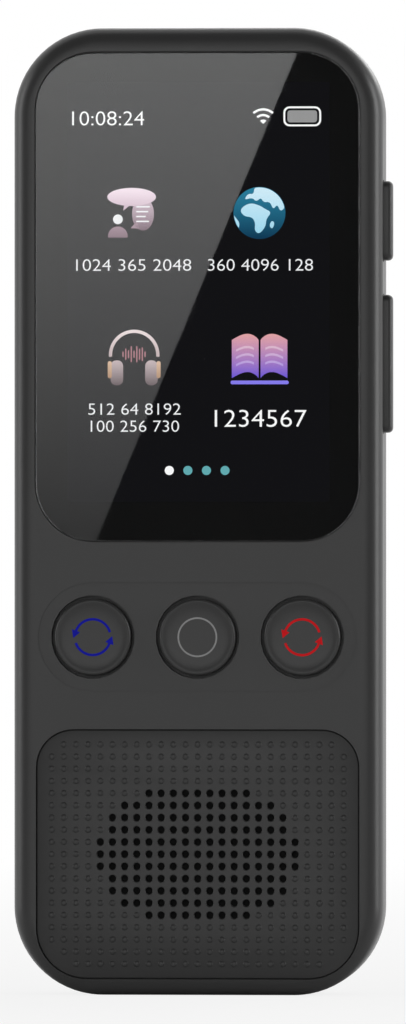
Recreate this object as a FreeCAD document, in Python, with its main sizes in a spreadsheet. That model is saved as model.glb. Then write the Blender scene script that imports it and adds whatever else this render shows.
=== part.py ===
import FreeCAD, Part
import math
import operator
import os
import Sketcher
from FreeCAD import Placement, Rotation, Vector

# A handheld translator, standing on its lower end. Every piece is drawn as it lies face up on a bench: x to
# the right, y up its length from the lower end, z out of the face from the plane where the housings meet.
# Each piece's placement then stands it up, so that its length runs along Z and its face looks towards -Y.

SIZES = {
    # The two housings
    "body_width": 45.4,
    "body_length": 119.0,
    "corner_radius": 10.9,
    "front_depth": 6.4,
    "rear_depth": 6.2,
    "front_edge_radius": 2.2,
    "rear_edge_radius": 3.0,
    "wall": 1.2,
    "front_skin": 1.9,
    "rear_skin": 1.2,
    "seam_chamfer": 0.15,
    "lip_width": 0.5,
    "lip_height": 0.8,
    "lip_gap": 0.05,
    # Places up the length, each from the one below it, and the glass's upper edge from the top
    "grille_foot": 2.05,
    "key_row_rise": 11.4,
    "glass_rise": 11.75,
    "glass_top_margin": 3.0,
    # Cover glass and display
    "glass_side_margin": 2.7,
    "glass_radius": 7.2,
    "glass_gap": 0.1,
    "glass_thickness": 0.7,
    "glass_recess": 0.05,
    "tape_thickness": 0.15,
    "tape_inset": 0.25,
    "lcd_side_margin": 3.0,
    "lcd_end_margin": 3.3,
    "lcd_thickness": 1.2,
    "lcd_frame_rim": 0.3,
    "lcd_frame_thickness": 0.9,
    "lcd_gap": 0.25,
    "tray_gap": 0.05,
    "lcd_flex_x": 5.0,
    "lcd_flex_width": 9.0,
    "lcd_flex_gap": 0.4,
    "lcd_flex_overlap": 1.7,
    # Loudspeaker and its grille
    "grille_side_margin": 2.85,
    "grille_length": 30.6,
    "grille_upper_radius": 4.6,
    "grille_lower_radius": 6.2,
    "grille_thickness": 0.9,
    "grille_recess": 0.25,
    "grille_gap": 0.08,
    "grille_bevel": 0.12,
    "hole_pitch": 1.5,
    "hole_diameter": 0.87,
    "hole_field_width": 24.6,
    "hole_field_length": 17.86,
    "window_margin": 0.65,
    "window_cut": 3.6,
    "mesh_margin": 0.9,
    "mesh_thickness": 0.15,
    "gasket_width": 1.6,
    "gasket_thickness": 0.4,
    "speaker_depth": 2.2,
    "cone_inset": 1.3,
    "cone_depth": 0.8,
    "cone_thickness": 0.3,
    "cone_edge": 1.0,
    "cone_dome_diameter": 9.0,
    "cone_dome_height": 0.4,
    "magnet_diameter": 12.0,
    "magnet_depth": 2.6,
    "cradle_gap": 0.15,
    "cradle_wall": 0.8,
    # The three keys in the face
    "key_hole_diameter": 10.2,
    "key_gap": 0.2,
    "key_proud": 0.45,
    "key_shoulder": 0.4,
    "key_rim": 0.15,
    "key_dish_depth": 0.25,
    "key_flange_width": 0.7,
    "key_flange_thickness": 0.6,
    "key_flange_gap": 0.1,
    "key_travel": 0.3,
    "key_field_margin": 1.65,
    "key_field_side_margin": 3.05,
    "key_field_depth": 0.12,
    "key_board_end_margin": 0.4,
    "key_board_length": 13.4,
    "key_post_diameter": 3.0,
    "key_post_rise": 4.9,
    "header_width": 8.0,
    "header_length": 2.0,
    # Switches, used under every key
    "board_thickness": 0.8,
    "switch_size": 4.4,
    "switch_height": 0.8,
    "stem_diameter": 1.8,
    "stem_gap": 0.05,
    "stem_proud": 0.5,
    "stem_clearance": 0.1,
    # The side keys
    "side_key_level": 2.1,
    "side_key_depth": 2.6,
    "side_key_proud": 1.15,
    "side_key_gap": 0.12,
    "side_key_chamfer": 0.4,
    "side_key_corner": 0.5,
    "side_key_rest_gap": 0.1,
    "side_flange_width": 0.6,
    "side_flange_thickness": 0.6,
    "side_flange_gap": 0.35,
    "power_key_length": 9.8,
    "power_key_drop": 23.7,
    "volume_key_length": 17.0,
    "volume_key_drop": 17.6,
    "volume_switch_reach": 5.5,
    "rocker_gap": 0.06,
    "rocker_rib_radius": 0.3,
    "side_switch_width": 2.8,
    "side_board_top_gap": 0.3,
    # Screws and the bosses that take them
    "screw_diameter": 1.4,
    "screw_fit": 0.03,
    "screw_pass_gap": 0.15,
    "screw_head_diameter": 2.6,
    "screw_head_height": 0.9,
    "screw_head_gap": 0.15,
    "screw_head_recess": 0.2,
    "screw_bite": 2.6,
    "screw_tip_gap": 0.4,
    "screw_edge_distance": 5.0,
    "side_screw_inset": 4.5,
    "side_screw_drop": 2.2,
    "boss_diameter": 3.6,
    "boss_gap": 0.1,
    "boss_rib": 1.0,
    "board_screw_length": 2.0,
    "board_screw_head": 0.7,
    # Main board and what is on it
    "board_standoff": 2.5,
    "board_margin": 0.7,
    "board_corner": 6.8,
    "board_notch_gap": 0.3,
    "post_diameter": 3.2,
    "upper_post_x": 10.0,
    "upper_post_drop": 8.4,
    "lower_post_x": 12.0,
    "lower_post_rise": 0.35,
    "processor_shield_width": 17.0,
    "processor_shield_length": 15.0,
    "processor_shield_rise": 20.2,
    "shield_height": 1.3,
    "radio_shield_width": 12.0,
    "radio_shield_length": 10.0,
    "radio_shield_drop": 11.0,
    "radio_shield_x": 11.0,
    "memory_chip_width": 11.5,
    "memory_chip_length": 13.0,
    "memory_chip_rise": 3.2,
    "power_chip_size": 6.0,
    "chip_height": 1.0,
    # Battery
    "battery_width": 31.0,
    "battery_foot_rise": 2.0,
    "battery_top_drop": 12.0,
    "battery_pad_thickness": 0.4,
    "battery_pad_margin": 3.0,
    "battery_swell_gap": 0.45,
    "connector_width": 5.0,
    "connector_length": 2.4,
    "connector_height": 0.9,
    "connector_x": 7.5,
    "connector_drop": 3.2,
    "lead_thickness": 0.2,
    "battery_lead_width": 4.0,
    # Charging port
    "port_width": 8.94,
    "port_height": 3.2,
    "port_length": 7.3,
    "port_setback": 0.5,
    "port_wall": 0.3,
    "port_back": 1.2,
    "port_tongue_width": 6.7,
    "port_tongue_thickness": 0.7,
    "port_tongue_setback": 0.6,
    "port_gap": 0.2,
    # Microphones
    "microphone_hole": 0.9,
    "microphone_width": 3.0,
    "microphone_length": 2.0,
    "microphone_height": 1.1,
    "boot_width": 3.6,
    "boot_height": 1.5,
    "boot_setback": 0.3,
    "boot_reach": 1.3,
    "bottom_microphone_x": 8.5,
    "top_microphone_x": 5.5,
    # Rear camera and its lamp
    "camera_drop": 17.0,
    "camera_window_diameter": 7.6,
    "camera_window_thickness": 0.6,
    "camera_window_recess": 0.1,
    "camera_window_gap": 0.08,
    "camera_size": 8.5,
    "camera_height": 1.6,
    "camera_barrel_diameter": 5.0,
    "camera_barrel_gap": 0.3,
    "camera_lens_diameter": 3.4,
    "camera_lens_depth": 0.3,
    "flash_drop": 8.6,
    "flash_diameter": 3.0,
    "flash_gap": 0.05,
    "flash_recess": 0.05,
    "flash_flange": 0.6,
    "flash_flange_thickness": 0.5,
    "flash_lamp_size": 1.8,
    "flash_lamp_gap": 0.3,
    # Antenna on the floor of the rear housing
    "antenna_width": 15.0,
    "antenna_length": 4.5,
    "antenna_thickness": 0.15,
    "antenna_drop": 3.2,
}

OVERLAP = 0.05
DIAGONAL = math.sqrt(0.5)
# What a cut at 45 degrees takes from each side of a corner, as a share of the radius that it touches
CORNER_CUT = 2 - math.sqrt(2)
# What a second cut takes at each end of the first, so that three flats touch the same radius
SECOND_CUT = math.tan(math.pi / 8) - math.tan(math.pi / 16)
# Flats that stand for a round: screws, other hidden ones, small ones in sight, the keys and the sound holes
SCREW_FACES = 6
HIDDEN_FACES = 8
SMALL_FACES = 12
KEY_FACES = 24
HOLE_FACES = 6
OPERATIONS = {"+": operator.add, "-": operator.sub, "*": operator.mul, "/": operator.truediv}

doc = FreeCAD.newDocument("HandheldTranslator")
sheet = doc.addObject("Spreadsheet::Sheet", "Sizes")
for row, (alias, number) in enumerate(SIZES.items(), start=1):
    sheet.set("A%d" % row, alias)
    sheet.set("B%d" % row, str(number))
    sheet.setAlias("B%d" % row, alias)
doc.recompute()


class Size:
    """A length that knows its number and the formula that gets it from the sheet."""

    def __init__(self, number, formula):
        self.number = number
        self.formula = formula

    def __float__(self):
        return float(self.number)

    def joined(self, sign, other, turned=False):
        other = as_size(other)
        first, second = (other, self) if turned else (self, other)
        number = OPERATIONS[sign](first.number, second.number)
        return Size(number, "(%s %s %s)" % (first.formula, sign, second.formula))

    def __add__(self, other):
        return self.joined("+", other)

    def __radd__(self, other):
        return self.joined("+", other, turned=True)

    def __sub__(self, other):
        return self.joined("-", other)

    def __rsub__(self, other):
        return self.joined("-", other, turned=True)

    def __mul__(self, other):
        return self.joined("*", other)

    def __rmul__(self, other):
        return self.joined("*", other, turned=True)

    def __truediv__(self, other):
        return self.joined("/", other)

    def __neg__(self):
        return 0 - self


def as_size(value):
    return value if isinstance(value, Size) else Size(float(value), "%.6f" % value)


class Sizes:
    """Every alias of the sheet, as a Size."""

    def __getattr__(self, alias):
        return Size(float(getattr(sheet, alias)), "Sizes.%s" % alias)


sizes = Sizes()


# Ways of drawing

def bind(thing, name, value):
    """Ties a property to the formula of a size."""
    thing.setExpression(name, as_size(value).formula)


def stand(thing, at=(0, 0, 0)):
    """Stands a piece up, with its own origin at the bench place x, y, z."""
    x, y, z = (as_size(value) for value in at)
    thing.Placement = Placement(Vector(float(x), -float(z), float(y)), Rotation(Vector(1, 0, 0), 90))
    bind(thing, "Placement.Base.x", x)
    bind(thing, "Placement.Base.y", -z)
    bind(thing, "Placement.Base.z", y)


def new_body(label, at=(0, 0, 0), standing=True):
    body = doc.addObject("PartDesign::Body", label)
    if standing:
        stand(body, at)
    return body


def new_sketch(body, name, plane="XY_Plane", level=0):
    """A sketch on one of the body's own planes, moved along that plane's normal to a level."""
    sketch = body.newObject("Sketcher::SketchObject", name)
    support = next(item for item in body.Origin.OriginFeatures if item.Role == plane)
    sketch.AttachmentSupport = [(support, "")]
    sketch.MapMode = "FlatFace"
    bind(sketch, "AttachmentOffset.Base.z", level)
    return sketch


def constrain(sketch, plain, sized):
    """Adds plain constraints, then those that carry a size, and ties each of these to the sheet."""
    sketch.addConstraint([Sketcher.Constraint(*terms) for terms in plain])
    first = sketch.ConstraintCount
    sketch.addConstraint([Sketcher.Constraint(*terms, float(size)) for terms, size in sized])
    for number, (_, size) in enumerate(sized, start=first):
        sketch.setExpression("Constraints[%d]" % number, as_size(size).formula)


def placed(geometry, point, x, y):
    """Dimensions that hold a point of a sketch's geometry at x and y."""
    return [(("DistanceX", -1, 1, geometry, point), x), (("DistanceY", -1, 1, geometry, point), y)]


def arc(x, y, radius, start, end):
    circle = Part.Circle(Vector(x, y, 0), Vector(0, 0, 1), radius)
    return Part.ArcOfCircle(circle, math.radians(start), math.radians(end))


def line(x1, y1, x2, y2):
    return Part.LineSegment(Vector(x1, y1, 0), Vector(x2, y2, 0))


def draw_rectangle(sketch, middle, size, lower_radius, upper_radius=None):
    """A rectangle with rounded corners, the lower two and the upper two alike."""
    upper_radius = lower_radius if upper_radius is None else upper_radius
    (x, y), (width, length) = middle, size
    left, right, foot, top = x - width / 2, x + width / 2, y - length / 2, y + length / 2
    x1, x2, y1, y2 = (float(value) for value in (left, right, foot, top))
    low, up = float(lower_radius), float(upper_radius)
    first = sketch.GeometryCount
    sketch.addGeometry([
        line(x1 + low, y1, x2 - low, y1),
        arc(x2 - low, y1 + low, low, 270, 360),
        line(x2, y1 + low, x2, y2 - up),
        arc(x2 - up, y2 - up, up, 0, 90),
        line(x2 - up, y2, x1 + up, y2),
        arc(x1 + up, y2 - up, up, 90, 180),
        line(x1, y2 - up, x1, y1 + low),
        arc(x1 + low, y1 + low, low, 180, 270),
    ], False)
    edges = [first + step for step in range(8)]
    plain = [("Tangent", edge, 2, edges[(step + 1) % 8], 1) for step, edge in enumerate(edges)]
    plain += [("Horizontal", edges[0]), ("Horizontal", edges[4])]
    plain += [("Vertical", edges[2]), ("Vertical", edges[6])]
    plain += [("Equal", edges[1], edges[7]), ("Equal", edges[3], edges[5])]
    sized = [
        (("Radius", edges[1]), lower_radius),
        (("Radius", edges[3]), upper_radius),
        (("DistanceX", -1, 1, edges[2], 1), right),
        (("DistanceX", -1, 1, edges[6], 1), left),
        (("DistanceY", -1, 1, edges[0], 1), foot),
        (("DistanceY", -1, 1, edges[4], 1), top),
    ]
    constrain(sketch, plain, sized)


def draw_slot(sketch, middle, reach, radius):
    """A slot with round ends, whose end centres lie at a reach to each side of its middle."""
    x, y = middle
    left, right = x - reach, x + reach
    x1, x2, height, round_radius = float(left), float(right), float(y), float(radius)
    first = sketch.GeometryCount
    sketch.addGeometry([
        line(x1, height - round_radius, x2, height - round_radius),
        arc(x2, height, round_radius, 270, 450),
        line(x2, height + round_radius, x1, height + round_radius),
        arc(x1, height, round_radius, 90, 270),
    ], False)
    edges = [first + step for step in range(4)]
    plain = [("Tangent", edge, 2, edges[(step + 1) % 4], 1) for step, edge in enumerate(edges)]
    plain += [("Equal", edges[1], edges[3])]
    sized = [(("Radius", edges[1]), radius)]
    sized += placed(edges[1], 3, right, y)
    sized += placed(edges[3], 3, left, y)
    constrain(sketch, plain, sized)


def draw_circle(sketch, middle, radius):
    x, y = (as_size(value) for value in middle)
    ring = Part.Circle(Vector(float(x), float(y), 0), Vector(0, 0, 1), float(radius))
    circle = sketch.addGeometry(ring, False)
    constrain(sketch, [], [(("Radius", circle), radius)] + placed(circle, 3, x, y))


def draw_polygon(sketch, points):
    """A closed run of straight edges, with each corner held by its two dimensions."""
    first = sketch.GeometryCount
    numbers = [(float(x), float(y)) for x, y in points]
    ends = numbers[1:] + numbers[:1]
    sketch.addGeometry([line(*start, *end) for start, end in zip(numbers, ends)], False)
    edges = [first + step for step in range(len(ends))]
    plain = [("Coincident", edge, 2, after, 1) for edge, after in zip(edges, edges[1:] + edges[:1])]
    sized = []
    for edge, (x, y) in zip(edges, points):
        sized += placed(edge, 1, x, y)
    constrain(sketch, plain, sized)


def flat_turns(faces):
    """The directions of the corners of a regular outline with so many flats."""
    return [math.pi * (2 * step + 1) / faces for step in range(faces)]


def draw_flats(sketch, middle, reach, faces):
    x, y = middle
    turns = flat_turns(faces)
    draw_polygon(sketch, [(x + reach * math.cos(turn), y + reach * math.sin(turn)) for turn in turns])


def draw_peg(sketch, middle, diameter, faces=HIDDEN_FACES):
    """A round solid's outline drawn with few flats, whose corners lie on the circle."""
    draw_flats(sketch, middle, diameter / 2, faces)


def draw_hole(sketch, middle, diameter, faces=HIDDEN_FACES):
    """A round hole's outline drawn with few flats, each of which touches the circle."""
    draw_flats(sketch, middle, diameter / 2 / math.cos(math.pi / faces), faces)


def draw_box(sketch, middle, size, cut=None):
    """A rectangle with sharp corners, or with its corners cut off straight."""
    (x, y), (width, length) = middle, size
    left, right, foot, top = x - width / 2, x + width / 2, y - length / 2, y + length / 2
    if cut is None:
        draw_polygon(sketch, [(left, foot), (right, foot), (right, top), (left, top)])
        return
    draw_polygon(sketch, [
        (left + cut, foot), (right - cut, foot), (right, foot + cut), (right, top - cut),
        (right - cut, top), (left + cut, top), (left, top - cut), (left, foot + cut),
    ])


def pad(sketch, length, up=True, both_ways=False):
    """Pads a sketch along its normal, against it, or half to each side."""
    body = sketch.getParentGeoFeatureGroup()
    feature = body.newObject("PartDesign::Pad", sketch.Name + "_pad")
    feature.Profile = sketch
    bind(feature, "Length", length)
    feature.Reversed = not up
    if both_ways:
        feature.SideType = "Symmetric"
    return feature


def pocket(sketch, depth, down=True):
    """Cuts a sketch into the body, against its normal or along it."""
    body = sketch.getParentGeoFeatureGroup()
    feature = body.newObject("PartDesign::Pocket", sketch.Name + "_pocket")
    feature.Profile = sketch
    bind(feature, "Length", depth)
    feature.Reversed = not down
    return feature


def edges_at(feature, axis, value):
    """The names of the edges of a feature that lie wholly at one value of x, y or z."""
    doc.recompute()
    place = float(as_size(value))
    return [
        "Edge%d" % number for number, edge in enumerate(feature.Shape.Edges, start=1)
        if abs(getattr(edge.BoundBox, axis + "Min") - place) < 0.001
        and abs(getattr(edge.BoundBox, axis + "Max") - place) < 0.001
    ]


def dress(kind, feature, edges, size):
    """Rounds or bevels named edges of a feature."""
    body = feature.getParentGeoFeatureGroup()
    dressed = body.newObject("PartDesign::" + kind, feature.Name + "_" + kind.lower())
    dressed.Base = (feature, edges)
    bind(dressed, "Radius" if kind == "Fillet" else "Size", size)
    return dressed


def ease(block, height, upwards, radius):
    """Eases a block's outer rim, so high above or below the parting plane, with three flats on a radius."""
    way = 1 if upwards else -1
    first = radius * CORNER_CUT
    once = dress("Chamfer", block, edges_at(block, "Z", height * way), first)
    rims = edges_at(once, "Z", height * way) + edges_at(once, "Z", (height - first) * way)
    return dress("Chamfer", once, rims, radius * SECOND_CUT)


def slab(label, middle, size, bottom, thickness):
    """A flat piece with square corners, such as a board, a chip or a battery."""
    body = new_body(label)
    sketch = new_sketch(body, label + "_outline", level=bottom)
    draw_box(sketch, middle, size)
    pad(sketch, thickness)
    return body


def disc(label, middle, diameter, bottom, thickness, faces):
    """A flat round piece, such as a window or a magnet, drawn with so many flats."""
    body = new_body(label)
    sketch = new_sketch(body, label + "_outline", level=bottom)
    draw_peg(sketch, middle, diameter, faces)
    pad(sketch, thickness)
    return body


# Heights above the plane where the housings meet, worked out from the sizes

roof = sizes.front_depth - sizes.front_skin
rear_floor = -(sizes.rear_depth - sizes.rear_skin)
glass_bottom = sizes.front_depth - sizes.glass_recess - sizes.glass_thickness
tape_bottom = glass_bottom - sizes.tape_thickness
lcd_bottom = glass_bottom - sizes.lcd_thickness
lcd_frame_bottom = lcd_bottom - sizes.lcd_frame_thickness
board_bottom = rear_floor + sizes.board_standoff
board_top = board_bottom + sizes.board_thickness
flange_top = roof - sizes.key_flange_gap
flange_bottom = flange_top - sizes.key_flange_thickness
switch_top = flange_bottom - sizes.stem_proud
key_board_top = switch_top - sizes.switch_height
key_board_bottom = key_board_top - sizes.board_thickness
key_top = sizes.front_depth + sizes.key_proud
grille_bottom = sizes.front_depth - sizes.grille_recess - sizes.grille_thickness

# Places up the length

grille_middle = sizes.grille_foot + sizes.grille_length / 2
key_row = sizes.grille_foot + sizes.grille_length + sizes.key_row_rise
glass_foot = key_row + sizes.glass_rise
glass_top = sizes.body_length - sizes.glass_top_margin
glass_length = glass_top - glass_foot
glass_middle = (glass_top + glass_foot) / 2
body_middle = sizes.body_length / 2
power_key_y = sizes.body_length - sizes.power_key_drop
volume_key_y = power_key_y - sizes.volume_key_drop
camera_y = sizes.body_length - sizes.camera_drop
flash_y = camera_y - sizes.flash_drop
connector_y = glass_foot - sizes.connector_drop
battery_foot = glass_foot + sizes.battery_foot_rise

# Widths and places across

half_width = sizes.body_width / 2
inner_side = half_width - sizes.wall
key_field_end = sizes.key_hole_diameter / 2 + sizes.key_field_margin
key_pitch = half_width - sizes.key_field_side_margin - key_field_end
glass_width = sizes.body_width - 2 * sizes.glass_side_margin
lcd_width = glass_width - 2 * sizes.lcd_side_margin
lcd_length = glass_length - 2 * sizes.lcd_end_margin
lcd_frame_width = lcd_width + 2 * sizes.lcd_frame_rim
lcd_frame_length = lcd_length + 2 * sizes.lcd_frame_rim
opening_width = lcd_frame_width + 2 * sizes.lcd_gap
opening_length = lcd_frame_length + 2 * sizes.lcd_gap
grille_width = sizes.body_width - 2 * sizes.grille_side_margin
window_width = sizes.hole_field_width + 2 * sizes.window_margin
window_length = sizes.hole_field_length + 2 * sizes.window_margin
side_flange_back = inner_side - sizes.side_flange_gap - sizes.side_flange_thickness
side_board_face = side_flange_back - sizes.stem_proud - sizes.switch_height
gasket_bottom = roof - sizes.gasket_thickness
speaker_bottom = gasket_bottom - sizes.speaker_depth
magnet_bottom = speaker_bottom - sizes.magnet_depth

# The six screw places: one inside each corner's curve, and one on each side below the glass. Each is given
# with the way from it to the nearest wall, and how far the middle of that wall is

corner_reach = (sizes.corner_radius - sizes.screw_edge_distance) * DIAGONAL
corner_screw_x = half_width - sizes.corner_radius + corner_reach
corner_screw_inset = sizes.corner_radius - corner_reach
corner_strut = sizes.screw_edge_distance - sizes.wall / 2
side_strut = sizes.side_screw_inset - sizes.wall / 2
side_screw_x = half_width - sizes.side_screw_inset
side_screw_y = glass_foot - sizes.side_screw_drop
upper_screw_y = sizes.body_length - corner_screw_inset
SCREWS = []
for side in (-1, 1):
    SCREWS += [
        (side * corner_screw_x, corner_screw_inset, side * DIAGONAL, -DIAGONAL, corner_strut),
        (side * side_screw_x, side_screw_y, side, 0, side_strut),
        (side * corner_screw_x, upper_screw_y, side * DIAGONAL, DIAGONAL, corner_strut),
    ]
SCREW_PLACES = [(x, y) for x, y, *_ in SCREWS]
BOARD_POSTS = []
for side in (-1, 1):
    BOARD_POSTS += [
        (side * sizes.lower_post_x, sizes.grille_foot + sizes.grille_length + sizes.lower_post_rise),
        (side * sizes.upper_post_x, sizes.body_length - sizes.upper_post_drop),
    ]
KEY_POSTS = [
    (side * key_pitch / 2, key_row + rise * sizes.key_post_rise)
    for side in (-1, 1)
    for rise in (-1, 1)
]
pilot_diameter = sizes.screw_diameter + 2 * sizes.screw_fit
port_level = board_top + sizes.port_height / 2
microphone_level = board_bottom - sizes.boot_height / 2


def draw_shell_outline(sketch, inset):
    """The body's outline, moved inwards by an inset."""
    size = (sizes.body_width - 2 * inset, sizes.body_length - 2 * inset)
    draw_rectangle(sketch, (0, body_middle), size, sizes.corner_radius - inset)


def draw_window(sketch, margin):
    """The outline of the sound window, a rectangle with cut corners, made larger all round by a margin."""
    size = (window_width + 2 * margin, window_length + 2 * margin)
    draw_box(sketch, (0, grille_middle), size, sizes.window_cut + margin * CORNER_CUT)


def draw_strut(sketch, screw, width, reach):
    """A straight strip from a screw place towards the wall beside it."""
    x, y, along_x, along_y, _ = screw
    half = width / 2
    corners = ((as_size(0), -half), (reach, -half), (reach, half), (as_size(0), half))
    draw_polygon(sketch, [
        (x + along_x * ahead - along_y * aside, y + along_y * ahead + along_x * aside)
        for ahead, aside in corners
    ])


def draw_port_outline(sketch, margin):
    """The outline of the charging port, with flats for its round ends, made larger all round by a margin."""
    height = sizes.port_height + 2 * margin
    draw_box(sketch, (0, port_level), (sizes.port_width + 2 * margin, height), height / 2 * CORNER_CUT)


def cut_port_and_microphones(body, microphones):
    """Cuts the charging port's slot and, where asked, the two microphone holes through the end walls."""
    slot = new_sketch(body, body.Name + "_port_slot", "XZ_Plane")
    draw_port_outline(slot, sizes.port_gap)
    pocket(slot, sizes.wall + sizes.port_setback)
    if microphones:
        bottom = new_sketch(body, body.Name + "_bottom_microphone_hole", "XZ_Plane")
        draw_hole(bottom, (sizes.bottom_microphone_x, microphone_level), sizes.microphone_hole)
        pocket(bottom, sizes.wall + sizes.port_setback)
        top = new_sketch(body, body.Name + "_top_microphone_hole", "XZ_Plane", level=-sizes.body_length)
        draw_hole(top, (sizes.top_microphone_x, microphone_level), sizes.microphone_hole)
        pocket(top, sizes.wall + sizes.port_setback, down=False)


# Housings

def make_front_housing():
    """Front half: a rounded tray, open to the rear, with seats for the glass, keys and grille."""
    body = new_body("front_housing")
    outline = new_sketch(body, "front_outline")
    draw_shell_outline(outline, as_size(0))
    block = pad(outline, sizes.front_depth)
    eased = ease(block, sizes.front_depth, True, sizes.front_edge_radius)
    dress("Chamfer", eased, edges_at(eased, "Z", 0), sizes.seam_chamfer)

    hollow = new_sketch(body, "front_hollow")
    draw_shell_outline(hollow, sizes.wall)
    pocket(hollow, roof, down=False)

    lip = new_sketch(body, "lip")
    draw_shell_outline(lip, sizes.wall - sizes.lip_width)
    draw_shell_outline(lip, sizes.wall)
    pad(lip, sizes.lip_height, up=False)

    for number, screw in enumerate(SCREWS, start=1):
        rib = new_sketch(body, "boss_rib_%d" % number)
        draw_strut(rib, screw, sizes.boss_rib, screw[-1])
        pad(rib, roof + OVERLAP)
    bosses = new_sketch(body, "front_bosses")
    for place in SCREW_PLACES:
        draw_peg(bosses, place, sizes.boss_diameter)
    pad(bosses, roof + OVERLAP)
    pilots = new_sketch(body, "front_pilots")
    for place in SCREW_PLACES:
        draw_hole(pilots, place, pilot_diameter)
    pocket(pilots, sizes.screw_bite + sizes.screw_tip_gap, down=False)

    key_posts = new_sketch(body, "key_posts", level=key_board_top)
    for place in KEY_POSTS:
        draw_peg(key_posts, place, sizes.key_post_diameter)
    pad(key_posts, roof - key_board_top + OVERLAP)
    key_pilots = new_sketch(body, "key_pilots", level=key_board_top)
    for place in KEY_POSTS:
        draw_hole(key_pilots, place, pilot_diameter)
    pocket(key_pilots, sizes.board_screw_length - sizes.board_thickness + sizes.screw_tip_gap, down=False)

    cradle = new_sketch(body, "speaker_cradle", level=gasket_bottom - sizes.speaker_depth / 2)
    for margin in (sizes.cradle_gap, sizes.cradle_gap + sizes.cradle_wall):
        draw_window(cradle, sizes.gasket_width + margin)
    pad(cradle, sizes.speaker_depth / 2 + sizes.gasket_thickness + OVERLAP)

    seat = new_sketch(body, "glass_seat", level=sizes.front_depth)
    size = (glass_width + 2 * sizes.glass_gap, glass_length + 2 * sizes.glass_gap)
    draw_rectangle(seat, (0, glass_middle), size, sizes.glass_radius + sizes.glass_gap)
    pocket(seat, sizes.front_depth - tape_bottom)
    opening = new_sketch(body, "display_opening", level=tape_bottom)
    draw_box(opening, (0, glass_middle), (opening_width, opening_length))
    pocket(opening, tape_bottom - lcd_frame_bottom + sizes.lcd_gap)

    field = new_sketch(body, "key_field", level=sizes.front_depth)
    draw_slot(field, (0, key_row), key_pitch, key_field_end)
    pocket(field, sizes.key_field_depth)
    key_holes = new_sketch(body, "key_holes", level=sizes.front_depth)
    for side in (-1, 0, 1):
        draw_hole(key_holes, (side * key_pitch, key_row), sizes.key_hole_diameter, KEY_FACES)
    pocket(key_holes, sizes.front_skin + OVERLAP)

    grille_seat = new_sketch(body, "grille_seat", level=sizes.front_depth)
    size = (grille_width + 2 * sizes.grille_gap, sizes.grille_length + 2 * sizes.grille_gap)
    radii = (sizes.grille_lower_radius + sizes.grille_gap, sizes.grille_upper_radius + sizes.grille_gap)
    draw_rectangle(grille_seat, (0, grille_middle), size, *radii)
    pocket(grille_seat, sizes.grille_recess + sizes.grille_thickness)
    mesh_seat = new_sketch(body, "mesh_seat", level=grille_bottom)
    draw_window(mesh_seat, sizes.mesh_margin + sizes.grille_gap)
    pocket(mesh_seat, sizes.mesh_thickness)
    window = new_sketch(body, "sound_window", level=grille_bottom)
    draw_window(window, as_size(0))
    pocket(window, grille_bottom - roof + OVERLAP)

    slots = new_sketch(body, "side_key_slots", "YZ_Plane", level=half_width)
    slot_cut = sizes.side_key_corner + sizes.side_key_gap * CORNER_CUT
    for y, length in ((power_key_y, sizes.power_key_length), (volume_key_y, sizes.volume_key_length)):
        size = (length + 2 * sizes.side_key_gap, sizes.side_key_depth + 2 * sizes.side_key_gap)
        draw_box(slots, (y, sizes.side_key_level), size, slot_cut)
    pocket(slots, sizes.wall + OVERLAP)
    cut_port_and_microphones(body, microphones=False)
    return body


def make_rear_housing():
    """Rear half: a tray with a softer rim, six counterbored screw bosses and four board posts."""
    body = new_body("rear_housing")
    outline = new_sketch(body, "rear_outline")
    draw_shell_outline(outline, as_size(0))
    block = pad(outline, sizes.rear_depth, up=False)
    ease(block, sizes.rear_depth, False, sizes.rear_edge_radius)

    hollow = new_sketch(body, "rear_hollow")
    draw_shell_outline(hollow, sizes.wall)
    pocket(hollow, -rear_floor)
    step = new_sketch(body, "lip_step")
    draw_shell_outline(step, sizes.wall - sizes.lip_width - sizes.lip_gap)
    pocket(step, sizes.lip_height + sizes.lip_gap)

    buried = rear_floor - sizes.rear_skin / 2
    bosses = new_sketch(body, "rear_bosses", level=buried)
    for place in SCREW_PLACES:
        draw_peg(bosses, place, sizes.boss_diameter)
    pad(bosses, -buried - sizes.boss_gap)
    posts = new_sketch(body, "board_posts", level=buried)
    for place in BOARD_POSTS:
        draw_peg(posts, place, sizes.post_diameter)
    pad(posts, board_bottom - buried)
    pilots = new_sketch(body, "board_pilots", level=board_bottom)
    for place in BOARD_POSTS:
        draw_hole(pilots, place, pilot_diameter)
    pocket(pilots, sizes.board_screw_length - sizes.board_thickness + sizes.screw_tip_gap)

    passes = new_sketch(body, "screw_passes", level=-sizes.rear_depth)
    bores = new_sketch(body, "counterbores", level=-sizes.rear_depth)
    for place in SCREW_PLACES:
        draw_hole(passes, place, sizes.screw_diameter + 2 * sizes.screw_pass_gap)
        draw_hole(bores, place, sizes.screw_head_diameter + 2 * sizes.screw_head_gap, SMALL_FACES)
    pocket(passes, sizes.rear_depth, down=False)
    pocket(bores, sizes.screw_head_recess + sizes.screw_head_height, down=False)

    window = new_sketch(body, "camera_window_seat", level=-sizes.rear_depth)
    draw_hole(window, (0, camera_y), sizes.camera_window_diameter + 2 * sizes.camera_window_gap, KEY_FACES)
    pocket(window, sizes.camera_window_recess + sizes.camera_window_thickness, down=False)
    camera_hole = new_sketch(body, "camera_hole", level=-sizes.rear_depth)
    draw_hole(camera_hole, (0, camera_y), sizes.camera_barrel_diameter + 2 * sizes.camera_barrel_gap)
    draw_hole(camera_hole, (0, flash_y), sizes.flash_diameter + 2 * sizes.flash_gap, SMALL_FACES)
    pocket(camera_hole, sizes.rear_skin + OVERLAP, down=False)
    cut_port_and_microphones(body, microphones=True)
    return body


def bind_base(thing, x, y, z):
    for axis, value in zip("xyz", (x, y, z)):
        bind(thing, "Placement.Base.%s" % axis, value)


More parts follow.
